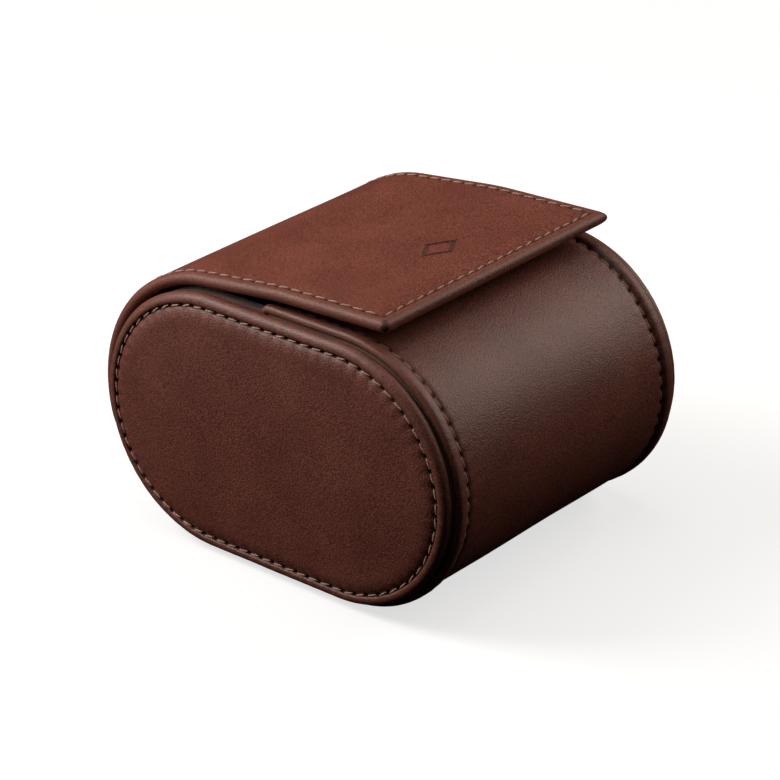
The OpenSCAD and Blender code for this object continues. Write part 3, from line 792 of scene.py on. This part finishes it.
def rollEnd(bm, edges, place, out, way, angle):
    # The rolled edge across one end of the lid, its ends mitred to the rolls along the sides
    middle = place - roll * out
    top = [e for e in edges if all(abs(v.co.x) < lidFlat + 0.01 and (v.co - place).dot(out) > -0.01
                                   for v in e.verts)]
    for vert in vertsOf(edges):
        vert.co += way * max(0, abs(vert.co.x) - lidFlat)
    steps = lid["rollSteps"]
    for count in range(1, steps + 1):
        verts = vertsOf(top)
        made = bmesh.ops.spin(bm, geom=top + verts, cent=middle, axis=(1, 0, 0),
                              angle=math.radians(angle / steps), steps=1)["geom_last"]
        moved = {g for g in made if isinstance(g, bmesh.types.BMVert)}
        top = [g for g in made if isinstance(g, bmesh.types.BMEdge) and set(g.verts) <= moved]
        reach = lidFlat + roll * math.sin(math.pi * count / steps)
        for vert in moved:
            if abs(vert.co.x) > lidFlat - 0.01:
                vert.co.x = math.copysign(reach, vert.co.x)


def makeLid():
    bm = newMesh()
    columns = [0.6 * n for n in range(61)] + [36.3 + 0.3 * n for n in range(11)] + [lidFlat]
    columns = [-x for x in reversed(columns[1:])] + columns
    side = [(lidFlat + roll * math.sin(math.pi * n / lid["rollSteps"]),
             roll - roll * math.cos(math.pi * n / lid["rollSteps"])) for n in range(1, lid["rollSteps"])]
    outline = [(x, 0) for x in columns] + side
    outline += [(-x, lid["thick"]) for x in columns] + [(-x, depth) for x, depth in reversed(side)]
    ring = chain(bm, ringPoints(outline, footAngle), closed=True)
    startVerts = {v for e in ring for v in e.verts}
    last = sweep(bm, ring, lidMoves(footAngle, lidFront, lid["step"], 0.3), footRun)
    first = [e for e in bm.edges if set(e.verts) <= startVerts]
    rollEnd(bm, last, bendTo + lidFront * frontWay, frontOut, frontWay, 180)
    footPlace = arcMiddle + lid["radius"] * turn(footAngle)
    footWay = turn(footAngle + 90)
    rollEnd(bm, first, footPlace, turn(footAngle), -footWay, -180)
    closeUp(bm)
    along, paintedShade, edge = (bm.verts.layers.float[n] for n in ("along", "paintedShade", "edge"))
    sideRow = lid["half"] - lid["seamInset"]
    frontRow = lidLength - lid["seamInset"]
    sideFirst = seams["pitch"]
    count = round((frontRow - seams["pitch"]) / seams["pitch"])
    sidePitch = (frontRow - seams["pitch"]) / count
    moves = []
    for vert in bm.verts:
        run = vert[along]
        place, out = lidPlace(min(run, lidLength - roll), 0)
        depth = (place - vert.co).dot(out)
        beyond = max(0, (vert.co - bendTo).dot(frontWay) - lidFront)
        atFoot = vert.co.z < midZ and vert.co.y > 0
        before = max(0, -(vert.co - footPlace).dot(footWay)) if atFoot else 0
        sides = max(0, abs(vert.co.x) - lidFlat)
        rolled = max(beyond, before, sides)
        if run >= lidLength - roll - 0.01:
            run = lidLength - roll + beyond
        if depth < roll and rolled < roll:
            across = abs(vert.co.x) - sideRow
            sideShape = seamShape(run, across, sidePitch, sideFirst) if run > 1.5 else (0, 0, 0)
            ahead = run - frontRow
            frontShape = seamShape(vert.co.x, ahead, seams["pitch"], 0) if across < 0.3 else (0, 0, 0)
            if across > 0.6 and ahead > 0.6:
                frontShape = sideShape = (0, 0, 0)
            valley = max(sideShape[0] if ahead < 0.6 else 0, frontShape[0])
            hole = max(sideShape[1] if ahead < 0.6 else 0, frontShape[1])
            # Painted shade in the needle holes and along the seam's valley
            vert[paintedShade] = min(1, 1.1 * hole + 0.22 * valley)
            # Rolled edges take the paler colour: pulled dye and a painted highlight
            vert[edge] = max(0, min(1, (max(across, ahead) - 0.5) / 0.7))
            laid = unevenness(vert.co, 30, 0.12) * max(0, min(1, -max(across, ahead) / 6))
            moves.append((vert, vert.normal * (laid - lid["valleyDepth"] * valley - lid["holeDepth"] * hole)))
        elif rolled > 0.05:
            vert[edge] = 1
        mitre = abs(max(beyond, before) - sides)
        if sides > 0.05 and max(beyond, before) > 0.05 and mitre < 0.03:
            # Painted shade in the mitre crease
            vert[paintedShade] = 0.75
            moves.append((vert, -lid["mitreDepth"] * vert.normal))
        if depth > lid["thick"] - 0.05 and rolled < 0.01:
            # Underneath, the turned-in leather ends in a step that the lining sits in
            inside = min(lid["liningHalf"] - abs(vert.co.x), run - lid["liningMargin"] * 0.98,
                         lidLength - lid["liningMargin"] - run)
            lift = max(0, min(1, inside / 0.4)) * (lid["thick"] - lid["liningDepth"])
            moves.append((vert, out * lift))
    for vert, step in moves:
        vert.co += step
    piece = finishPiece(bm, "lidLeather", lidLeather, "lid", ["lid_leather"], "lid_leather")
    places = []
    for x in (-sideRow, sideRow):
        for number in range(1, count):
            point, out = lidPlace(sideFirst + number * sidePitch, 0.06)
            places.append((point + Vector((x, 0, 0)), out.cross(Vector((1, 0, 0))), out))
    point, out = lidPlace(frontRow, 0.06)
    places += crossStitches(point, out, 21)
    stitchRow("lidThread", places, "lid", "lid_thread")
    return piece


def makeLidLining():
    bm = newMesh()
    half = lid["liningHalf"] - 0.05
    columns = [x * half / 10 for x in range(-10, 11)]
    outline = [(x, 2.35) for x in columns] + [(half, 2.9), (half - 0.3, 3.12)]
    outline += [(-x, 3.15) for x in columns[1:-1]] + [(0.3 - half, 3.12), (-half, 2.9)]
    angle = lid["foot"] + 4.25
    ring = chain(bm, ringPoints(outline, angle), closed=True)
    run = math.radians(angle - lid["foot"]) * lid["radius"]
    sweep(bm, ring, lidMoves(angle, lidFront + roll - lid["liningMargin"] - 0.05, 1.5), run)
    closeUp(bm)
    return finishPiece(bm, "lidLiningPad", lining, "lid", ["lid_lining"], "microfibre", sharp=50)


makeLid()
makeLidLining()
print("lid made")


# Leather hinge: sewn to the back of the wrap below, drawn into the lid's foot above

hinge = {
    "half": 34.5,
    "pivotRadius": 34.55,
    "rollRadius": 1.0,
    "tabFoot": -44,
    "tabMiddle": 33.8,
    "leather": 1.2,
    "rows": (-25, -40),
}
pivot = arcMiddle + hinge["pivotRadius"] * turn(section["hingeAngle"])


def hingeSide(sign):
    # One face of the strip, from its skived foot on the wrap to its end inside the lid
    points = []
    for number in range(63):
        angle = hinge["tabFoot"] + number * 0.5
        away = math.radians(angle - section["hingeAngle"]) * hinge["pivotRadius"]
        rise = max(0, min(1, (angle + 26) / 5))
        lift = (hinge["pivotRadius"] - hinge["tabMiddle"]) * rise * rise * (3 - 2 * rise)
        radius = hinge["tabMiddle"] + lift
        bulge = math.sqrt(max(0, hinge["rollRadius"] ** 2 - away ** 2))
        skive = min(1, 0.35 + (angle - hinge["tabFoot"]) * 0.35)
        half = max(hinge["leather"] / 2 * (skive if sign > 0 else 1), bulge)
        points.append(arcMiddle + (radius + sign * half) * turn(angle))
    return points


def makeHinge():
    bm = newMesh()
    outline = hingeSide(1) + hingeSide(-1)[::-1]
    edges = chain(bm, [p + Vector((-hinge["half"], 0, 0)) for p in outline], closed=True)
    columns = round(2 * hinge["half"] / 0.6)
    for count in range(columns):
        made = bmesh.ops.extrude_edge_only(bm, edges=edges)["geom"]
        moved = {g for g in made if isinstance(g, bmesh.types.BMVert)}
        bmesh.ops.translate(bm, verts=list(moved), vec=(2 * hinge["half"] / columns, 0, 0))
        edges = [g for g in made if isinstance(g, bmesh.types.BMEdge) and set(g.verts) <= moved]
    closeUp(bm)
    paintedShade, edge = (bm.verts.layers.float[n] for n in ("paintedShade", "edge"))

    def shape(vert):
        spoke = vert.co - arcMiddle
        radius = math.hypot(spoke.y, spoke.z)
        if radius < hinge["tabMiddle"] or abs(vert.co.x) > hinge["half"] - 0.4:
            return 0
        angle = math.degrees(math.atan2(spoke.z, spoke.y))
        valley = hole = 0
        for row in hinge["rows"]:
            across = math.radians(angle - row) * 34.3
            one = seamShape(vert.co.x, across, seams["pitch"], 0) if abs(vert.co.x) < 34 else (0, 0, 0)
            valley, hole = max(valley, one[0]), max(hole, one[1])
        # Painted shade in the needle holes and along the seams' valleys
        vert[paintedShade] = min(1, 1.1 * hole + 0.2 * valley)
        # The skived edge takes the paler colour: pulled dye and a painted highlight
        vert[edge] = max(0, min(1, (hinge["tabFoot"] + 2 - angle) / 2))
        return unevenness(vert.co, 14, 0.08) - 0.1 * valley - 0.34 * hole

    press(bm, shape)
    piece = finishPiece(bm, "hingeLeather", bodyLeather, None)
    below = (pivot - 1.0 * turn(section["hingeAngle"] + 90)) * mm
    above = (pivot + 1.0 * turn(section["hingeAngle"] + 90)) * mm
    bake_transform(piece, "case", "lid", start=below[:], end=above[:])
    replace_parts(piece, "hinge_leather")
    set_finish(piece, "body_leather")
    places = []
    for row in hinge["rows"]:
        places += crossStitches(arcMiddle + 34.36 * turn(row), turn(row), 19)
    stitchRow("hingeThread", places, "case", "hinge_thread")


makeHinge()
print("hinge made")


# Linings: microfibre on a thin foam, glued inside the tube and over the end plates

liner = {
    "inside": 29.0,
    "outside": 29.66,
    "half": 37.15,
    "step": 1.6,
    "softness": 0.08,    # depth of its soft rise and fall
}


def makeTubeLining():
    bm = newMesh()
    half = liner["half"]
    columns = [x * half / 14 for x in range(-14, 15)]
    outline = [(x, liner["outside"]) for x in columns] + [(half, 29.25), (half - 0.25, 29.02)]
    outline += [(-x, liner["inside"]) for x in columns[1:-1]] + [(0.25 - half, 29.02), (-half, 29.25)]
    startY = section["middleY"] + section["mouthY"] - wrap["lip"] - 0.02
    first = -(section["mouthY"] - wrap["lip"])
    ring = chain(bm, [(u, startY, midZ + r) for u, r in outline], closed=True)
    flat = section["halfFlat"]
    lastAngle = section["hingeAngle"] - math.degrees(wrap["lip"] / wrap["inner"]) - 0.05
    radius, step = liner["inside"], liner["step"]
    sweep(bm, ring, [(first - flat, 0, step), (frontY, midZ, 180, radius, step), (2 * flat, 0, step),
                     (backY, midZ, 90 + lastAngle, radius, step)], first)
    closeUp(bm)
    top = liner["inside"] + 0.1
    soft = liner["softness"]
    press(bm, lambda v: unevenness(v.co, 12, soft) if fromOval(v.co) < top and abs(v.co.x) < 36 else 0)
    piece = finishPiece(bm, "tubeLining", lining, "case", ["shell_lining"], "microfibre", sharp=50)
    return piece


def makeEndLining(name, side, cadNode):
    bm = newMesh()
    profile = [(r, 37.2) for r in (0, 6, 12, 18, 24, 28, 29.2)]
    profile += [(29.8, 37.3), (30.1, 37.6), (30.1, 37.94), (0, 37.94)]
    edges = chain(bm, [(side * u, section["middleY"], midZ + r) for r, u in profile])
    sweep(bm, edges, ovalMoves(liner["inside"], liner["step"]))
    # Over the mouth the lining goes up the plate's rim and across its top
    rim = [(29.0, 37.2), (30.5, 37.2), (31.4, 37.2), (31.8, 37.35), (31.98, 37.7), (32.0, 38.2),
           (32.0, 39.8), (31.93, 40.2), (31.7, 40.36), (31.22, 40.38), (31.22, 38.0), (29.0, 37.96)]
    startY = section["middleY"] + section["mouthY"] + 0.02
    ring = chain(bm, [(side * u, startY, midZ + r) for r, u in rim], closed=True)
    run = section["halfFlat"] - section["mouthY"] - 0.02
    sweep(bm, ring, [(run, 0, 1.2), (backY, midZ, section["hingeAngle"] - 90, 32, 1.2)])
    closeUp(bm)
    soft = liner["softness"]
    press(bm, lambda v: unevenness(v.co, 12, soft) if abs(v.co.x) < 37.3 and fromOval(v.co) < 28 else 0)
    return finishPiece(bm, name, lining, "case", [cadNode], "microfibre", sharp=60)


makeTubeLining()
for side, word in ((-1, "left"), (1, "right")):
    makeEndLining(word + "EndLining", side, word + "_end_lining")
print("linings laid")


# Press stud: turned ring-spring stud on the wrap, socket under the lid

# Profiles are (radius, height) from the leather's face
stud = {
    "inset": 17.5,    # from the lid's free edge
    "steps": 64,
    "cap": [(0, 0.02), (5.3, 0.02), (5.5, 0.12), (5.5, 0.34), (5.35, 0.47), (5.1, 0.5), (3.2, 0.5),
            (2.4, 0.56), (2.05, 0.75), (2.0, 1.3), (2.1, 1.42), (2.42, 1.48), (2.5, 1.6), (2.46, 1.75),
            (2.2, 2.0), (1.8, 2.1), (1.0, 2.1), (0.8, 2.0), (0, 1.98)],
    "capRivet": [(0, 0), (1.4, 0), (1.4, -3.0), (4.2, -3.0), (4.45, -3.1), (4.5, -3.28), (4.3, -3.45),
                 (3.6, -3.5), (0, -3.5)],
    "ring": [(1.5, 0.01), (5.45, 0.01), (5.6, 0.1), (5.6, 0.32), (5.45, 0.46), (5.1, 0.52), (4.9, 0.7),
             (4.8, 1.3), (4.7, 1.52), (4.45, 1.6), (4.2, 1.56), (4.08, 1.4), (3.92, 1.28), (3.82, 1.1),
             (3.92, 0.92), (4.05, 0.8), (4.05, 0.52), (1.5, 0.5), (1.5, 0.01)],
    "ringRivet": [(0, -1.4), (4.4, -1.4), (4.5, -1.2), (4.45, -0.92), (1.4, -0.9), (1.4, 0.6), (1.2, 0.7),
                  (0, 0.72)],
}
studReach = lidFront + roll - stud["inset"]
studPlace = bendTo + studReach * frontWay - lid["thick"] * frontOut


def turned(name, profile, base, axis, body, replaced):
    # Spins a profile of (radius, height) once round an axis that starts at base
    bm = newMesh()
    edges = chain(bm, [(r, 0, h) for r, h in profile])
    bmesh.ops.spin(bm, geom=edges + bm.verts[:], cent=(0, 0, 0), axis=(0, 0, 1), angle=2 * math.pi,
                   steps=stud["steps"], use_merge=True)
    bmesh.ops.remove_doubles(bm, verts=bm.verts[:], dist=0.002)
    aim = Vector((0, 0, 1)).rotation_difference(axis).to_matrix().to_4x4()
    bmesh.ops.transform(bm, matrix=Matrix.Translation(base) @ aim, verts=bm.verts[:])
    bmesh.ops.recalc_face_normals(bm, faces=bm.faces[:])
    return finishPiece(bm, name, brass, body, replaced, "snap_metal", sharp=35)


studBase = Vector((0, studPlace.y, midZ + wrap["radius"]))
up = Vector((0, 0, 1))
turned("studCap", stud["cap"], studBase, up, "case", ["snap_stud"])
turned("studRivet", stud["capRivet"], studBase, up, "case", ["stud_rivet"])
turned("socketRing", stud["ring"], studPlace, -frontOut, "lid", ["snap_socket"])
turned("socketRivet", stud["ringRivet"], studPlace, -frontOut, "lid", ["socket_rivet"])
print("press stud made")


# Watch cushion: a barrel-shaped pillow with piped ends, facing out of the mouth

cushion = {
    "middle": (12.38, 30.52),
    "tilt": -42.8,
    "radius": 23.2,
    "flat": 5,
    "half": 35,
    "endFall": 1.4,
    "endRound": 2.2,
    "voxel": 2.3,
    "pressure": 4.0,
    "frames": 20,
    "swell": 0.9,        # furthest that a point may move, in mm
    "start": 0.3,        # the pillow starts this much smaller
    "pipe": 0.75,
    "pipeInset": 1.9,    # from the pillow's end
    "pipeBed": 0.35,     # how deep the piping beds into the pillow
    "cover": 0.9,
}


def cushionProfile(shrink):
    # Half of the pillow's outline from the middle of its end to its widest place, then mirrored
    side = cushion["half"] - 2
    barrel = side ** 2 / (2 * cushion["endFall"])
    end = cushion["half"] - shrink
    edgeRadius = cushion["radius"] - cushion["endFall"] - shrink
    points = [(0, end)] + [(r, end - 0.2 * (r / 17) ** 2) for r in (6, 12, 17)]
    for angle in (90, 67, 45, 22, 0):
        inward = cushion["endRound"] * (1 - math.sin(math.radians(angle)))
        points.append((edgeRadius - inward, end - 0.3 - inward))
    points = points[:4] + sorted(points[4:], key=lambda p: -p[1])
    for u in (26, 19, 12, 6, 0):
        points.append((cushion["radius"] - shrink - u * u / (2 * barrel), u))
    return points + [(r, -u) for r, u in reversed(points[:-1])]


def cushionMoves(radius, step):
    half = cushion["flat"] / 2
    return [(-half, 0, step), (-half, 0, 180, radius, step), (2 * half, 0, step),
            (half, 0, 180, radius, step), (-half, 0, step)]


tilted = Matrix.Rotation(math.radians(cushion["tilt"]), 4, "X")
cushionFrame = Matrix.Translation((0, *cushion["middle"])) @ tilted


def inflate(piece):
    # Blows the pillow up as cloth, with each point held to a short way, and keeps the result in the mesh
    bpy.context.view_layer.objects.active = piece
    remesh = piece.modifiers.new("voxels", "REMESH")
    remesh.mode, remesh.voxel_size = "VOXEL", cushion["voxel"] * mm
    dg = bpy.context.evaluated_depsgraph_get()
    piece.data = bpy.data.meshes.new_from_object(piece.evaluated_get(dg))
    piece.modifiers.clear()
    start = [v.co.copy() for v in piece.data.vertices]
    cloth = piece.modifiers.new("blown", "CLOTH")
    cloth.settings.use_pressure = True
    cloth.settings.uniform_pressure_force = cushion["pressure"]
    cloth.settings.effector_weights.gravity = 0
    cloth.point_cache.frame_end = cushion["frames"]
    for number in range(1, cushion["frames"] + 1):
        bpy.context.scene.frame_set(number)
    dg = bpy.context.evaluated_depsgraph_get()
    blown = bpy.data.meshes.new_from_object(piece.evaluated_get(dg))
    limit = cushion["swell"] * mm
    for vert, rest in zip(blown.vertices, start):
        step = vert.co - rest
        if step.length > limit:
            vert.co = rest + step * (limit / step.length)
    piece.modifiers.clear()
    piece.data = blown
    bpy.context.scene.frame_set(1)


def makeCushion():
    bm = newMesh()
    profile = cushionProfile(cushion["start"])
    edges = chain(bm, [(u, 0, r) for r, u in profile])
    sweep(bm, edges, cushionMoves(cushion["radius"], 2.0))
    closeUp(bm)
    bmesh.ops.scale(bm, vec=(mm, mm, mm), verts=bm.verts[:])
    mesh = bpy.data.meshes.new("cushionPillow")
    bm.to_mesh(mesh)
    bm.free()
    pillow = bpy.data.objects.new("cushionPillow", mesh)
    bpy.context.scene.collection.objects.link(pillow)
    inflate(pillow)
    bm = bmesh.new()
    bm.from_mesh(pillow.data)
    bmesh.ops.subdivide_edges(bm, edges=bm.edges[:], cuts=1, use_grid_fill=True)
    for count in range(2):
        bmesh.ops.smooth_vert(bm, verts=bm.verts[:], factor=0.5, use_axis_x=True, use_axis_y=True,
                              use_axis_z=True)
    bmesh.ops.transform(bm, matrix=Matrix.Scale(mm, 4) @ cushionFrame @ Matrix.Scale(1 / mm, 4),
                        verts=bm.verts[:])
    bmesh.ops.recalc_face_normals(bm, faces=bm.faces[:])
    for face in bm.faces:
        face.smooth = True
    bm.to_mesh(pillow.data)
    bm.free()
    pillow.data.materials.clear()
    pillow.data.materials.append(pillowCloth)
    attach(pillow, "cushion")
    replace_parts(pillow, "cushion_cover", "left_cushion_end", "right_cushion_end")
    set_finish(pillow, "microfibre")
    return pillow


def makePiping(name, side, cadNode, surface):
    # Swept round the end, then each section of the cord is moved in or out onto the blown pillow
    bm = newMesh()
    ringRadius = cushion["radius"] - cushion["endFall"]
    u = side * (cushion["half"] - cushion["pipeInset"])
    points = []
    for angle in range(0, 360, 30):
        points.append((u + cushion["pipe"] * math.sin(math.radians(angle)), 0,
                       ringRadius + cushion["pipe"] * math.cos(math.radians(angle))))
    sweep(bm, chain(bm, points, closed=True), cushionMoves(ringRadius, 1.2))
    closeUp(bm, 0.02)
    layer = bm.verts.layers.float["along"]
    lastRun = 2 * math.pi * ringRadius + 2 * cushion["flat"] - 0.5
    far = 6    # each look back at the pillow starts this far outside it
    sections = {}
    for vert in bm.verts:
        sections.setdefault(0 if vert[layer] > lastRun else round(vert[layer], 2), []).append(vert)
    for verts in sections.values():
        middle = sum((v.co for v in verts), Vector()) / len(verts)
        flat = max(-cushion["flat"] / 2, min(cushion["flat"] / 2, middle.y))
        out = (middle - Vector((u, flat, 0))).normalized()
        start = cushionFrame @ (middle + far * out) * mm
        way = (cushionFrame.to_3x3() @ -out).normalized()
        reach = surface.ray_cast(start, way)[3]
        step = out * (far - reach / mm + cushion["pipe"] - cushion["pipeBed"])
        for vert in verts:
            vert.co += step
    bmesh.ops.transform(bm, matrix=cushionFrame, verts=bm.verts[:])
    bmesh.ops.recalc_face_normals(bm, faces=bm.faces[:])
    return finishPiece(bm, name, bodyLeather, "cushion", [cadNode], "body_leather")


pillow = makeCushion()
pillowSurface = BVHTree.FromPolygons([v.co for v in pillow.data.vertices],
                                     [p.vertices for p in pillow.data.polygons])
for side, word in ((-1, "left"), (1, "right")):
    makePiping(word + "CushionPiping", side, word + "_cushion_end", pillowSurface)
inner = pillow.copy()
inner.data = pillow.data.copy()
inner.name = inner.data.name = "cushionFoam"
bpy.context.scene.collection.objects.link(inner)
for vert in inner.data.vertices:
    vert.co -= vert.normal * cushion["cover"] * mm
inner.data.materials.clear()
inner.data.materials.append(foam)
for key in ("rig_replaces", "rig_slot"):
    if key in inner:
        del inner[key]
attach(inner, "cushion")
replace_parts(inner, "cushion_foam")
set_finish(inner, "foam")
print("cushion blown up")


# Hidden boards keep their CAD shapes

for name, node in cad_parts.items():
    if not node.hide_render:
        node.data.materials.clear()
        node.data.materials.append(board)
        print("kept from the CAD:", name)


# Floor, lamps and camera

studio = {
    "floorSize": 6,
    "floorShade": "#b7b7b7",    # shares of the floor's white that lamps light, and that camera rays add
    "floorGlow": 0.68,
    "bounceShade": "#131110",
    "airLevel": 0.02,
    "lamps": (
        # name, place in m, size in m, watts, colour
        ("overhead", (0.0, 0.1, 1.15), 1.0, 3.4, "#fffaf4"),
        ("right", (0.82, -0.43, 0.57), 0.66, 5.1, "#fff3e8"),
        ("backLeft", (-0.29, 0.37, 0.45), 0.3, 2.9, "#fffaf4"),
        ("lowLeft", (-0.35, 0.42, 0.14), 0.22, 0.5, "#fffaf4"),
    ),
    "camera": (-0.5239, -0.4340, 0.3625),
    "aim": (-0.00810, -0.00694, 0.03738),
    "lens": 146.1,
}


def makeStage():
    bm = bmesh.new()
    bmesh.ops.create_grid(bm, x_segments=8, y_segments=8, size=studio["floorSize"] / 2)
    mesh = bpy.data.meshes.new("floor")
    bm.to_mesh(mesh)
    bm.free()
    floor = bpy.data.objects.new("floor", mesh)
    bpy.context.scene.collection.objects.link(floor)
    m = newMaterial("paperFloor")
    seen = addNode(m, "LightPath").outputs["Is Camera Ray"]
    tone = addNode(m, "Mix", {"Factor": seen, "A": linear(studio["bounceShade"]),
                              "B": linear(studio["floorShade"])}, data_type="RGBA")
    glow = addNode(m, "Math", {0: seen, 1: studio["floorGlow"]}, operation="MULTIPLY")
    lit = addNode(m, "BsdfDiffuse", {"Color": tone.outputs["Result"]})
    white = addNode(m, "Emission", {"Strength": glow.outputs["Value"]})
    both = addNode(m, "AddShader", {0: lit.outputs["BSDF"], 1: white.outputs["Emission"]})
    addNode(m, "OutputMaterial", {"Surface": both.outputs["Shader"]})
    mesh.materials.append(m)


def makeLights():
    world = bpy.data.worlds.new("studioAir")
    bpy.context.scene.world = world
    world.use_nodes = True
    world.node_tree.nodes.clear()
    path = addNode(world, "LightPath")
    strength = addNode(world, "MapRange", {"Value": path.outputs["Is Camera Ray"],
                                           "To Min": studio["airLevel"], "To Max": 1.0})
    air = addNode(world, "Background", {"Color": linear("#ffffff"), "Strength": strength.outputs["Result"]})
    addNode(world, "OutputWorld", {"Surface": air.outputs["Background"]})
    for name, place, size, watts, colour in studio["lamps"]:
        lamp = bpy.data.lights.new(name, "AREA")
        lamp.shape, lamp.size, lamp.energy, lamp.color = "SQUARE", size, watts, linear(colour)[:3]
        holder = bpy.data.objects.new(name, lamp)
        holder.location = place
        holder.rotation_euler = (Vector((0, 0, 0.04)) - Vector(place)).to_track_quat("-Z", "Y").to_euler()
        holder.visible_camera = False
        bpy.context.scene.collection.objects.link(holder)


def makeCamera():
    data = bpy.data.cameras.new("camera")
    data.lens, data.sensor_width, data.clip_start = studio["lens"], 36, 0.01
    camera = bpy.data.objects.new("camera", data)
    camera.location = studio["camera"]
    camera.rotation_euler = (Vector(studio["aim"]) - camera.location).to_track_quat("-Z", "Y").to_euler()
    bpy.context.scene.collection.objects.link(camera)
    bpy.context.scene.camera = camera


makeStage()
makeLights()
makeCamera()
bpy.context.scene.view_settings.view_transform = "Standard"
print("studio set")
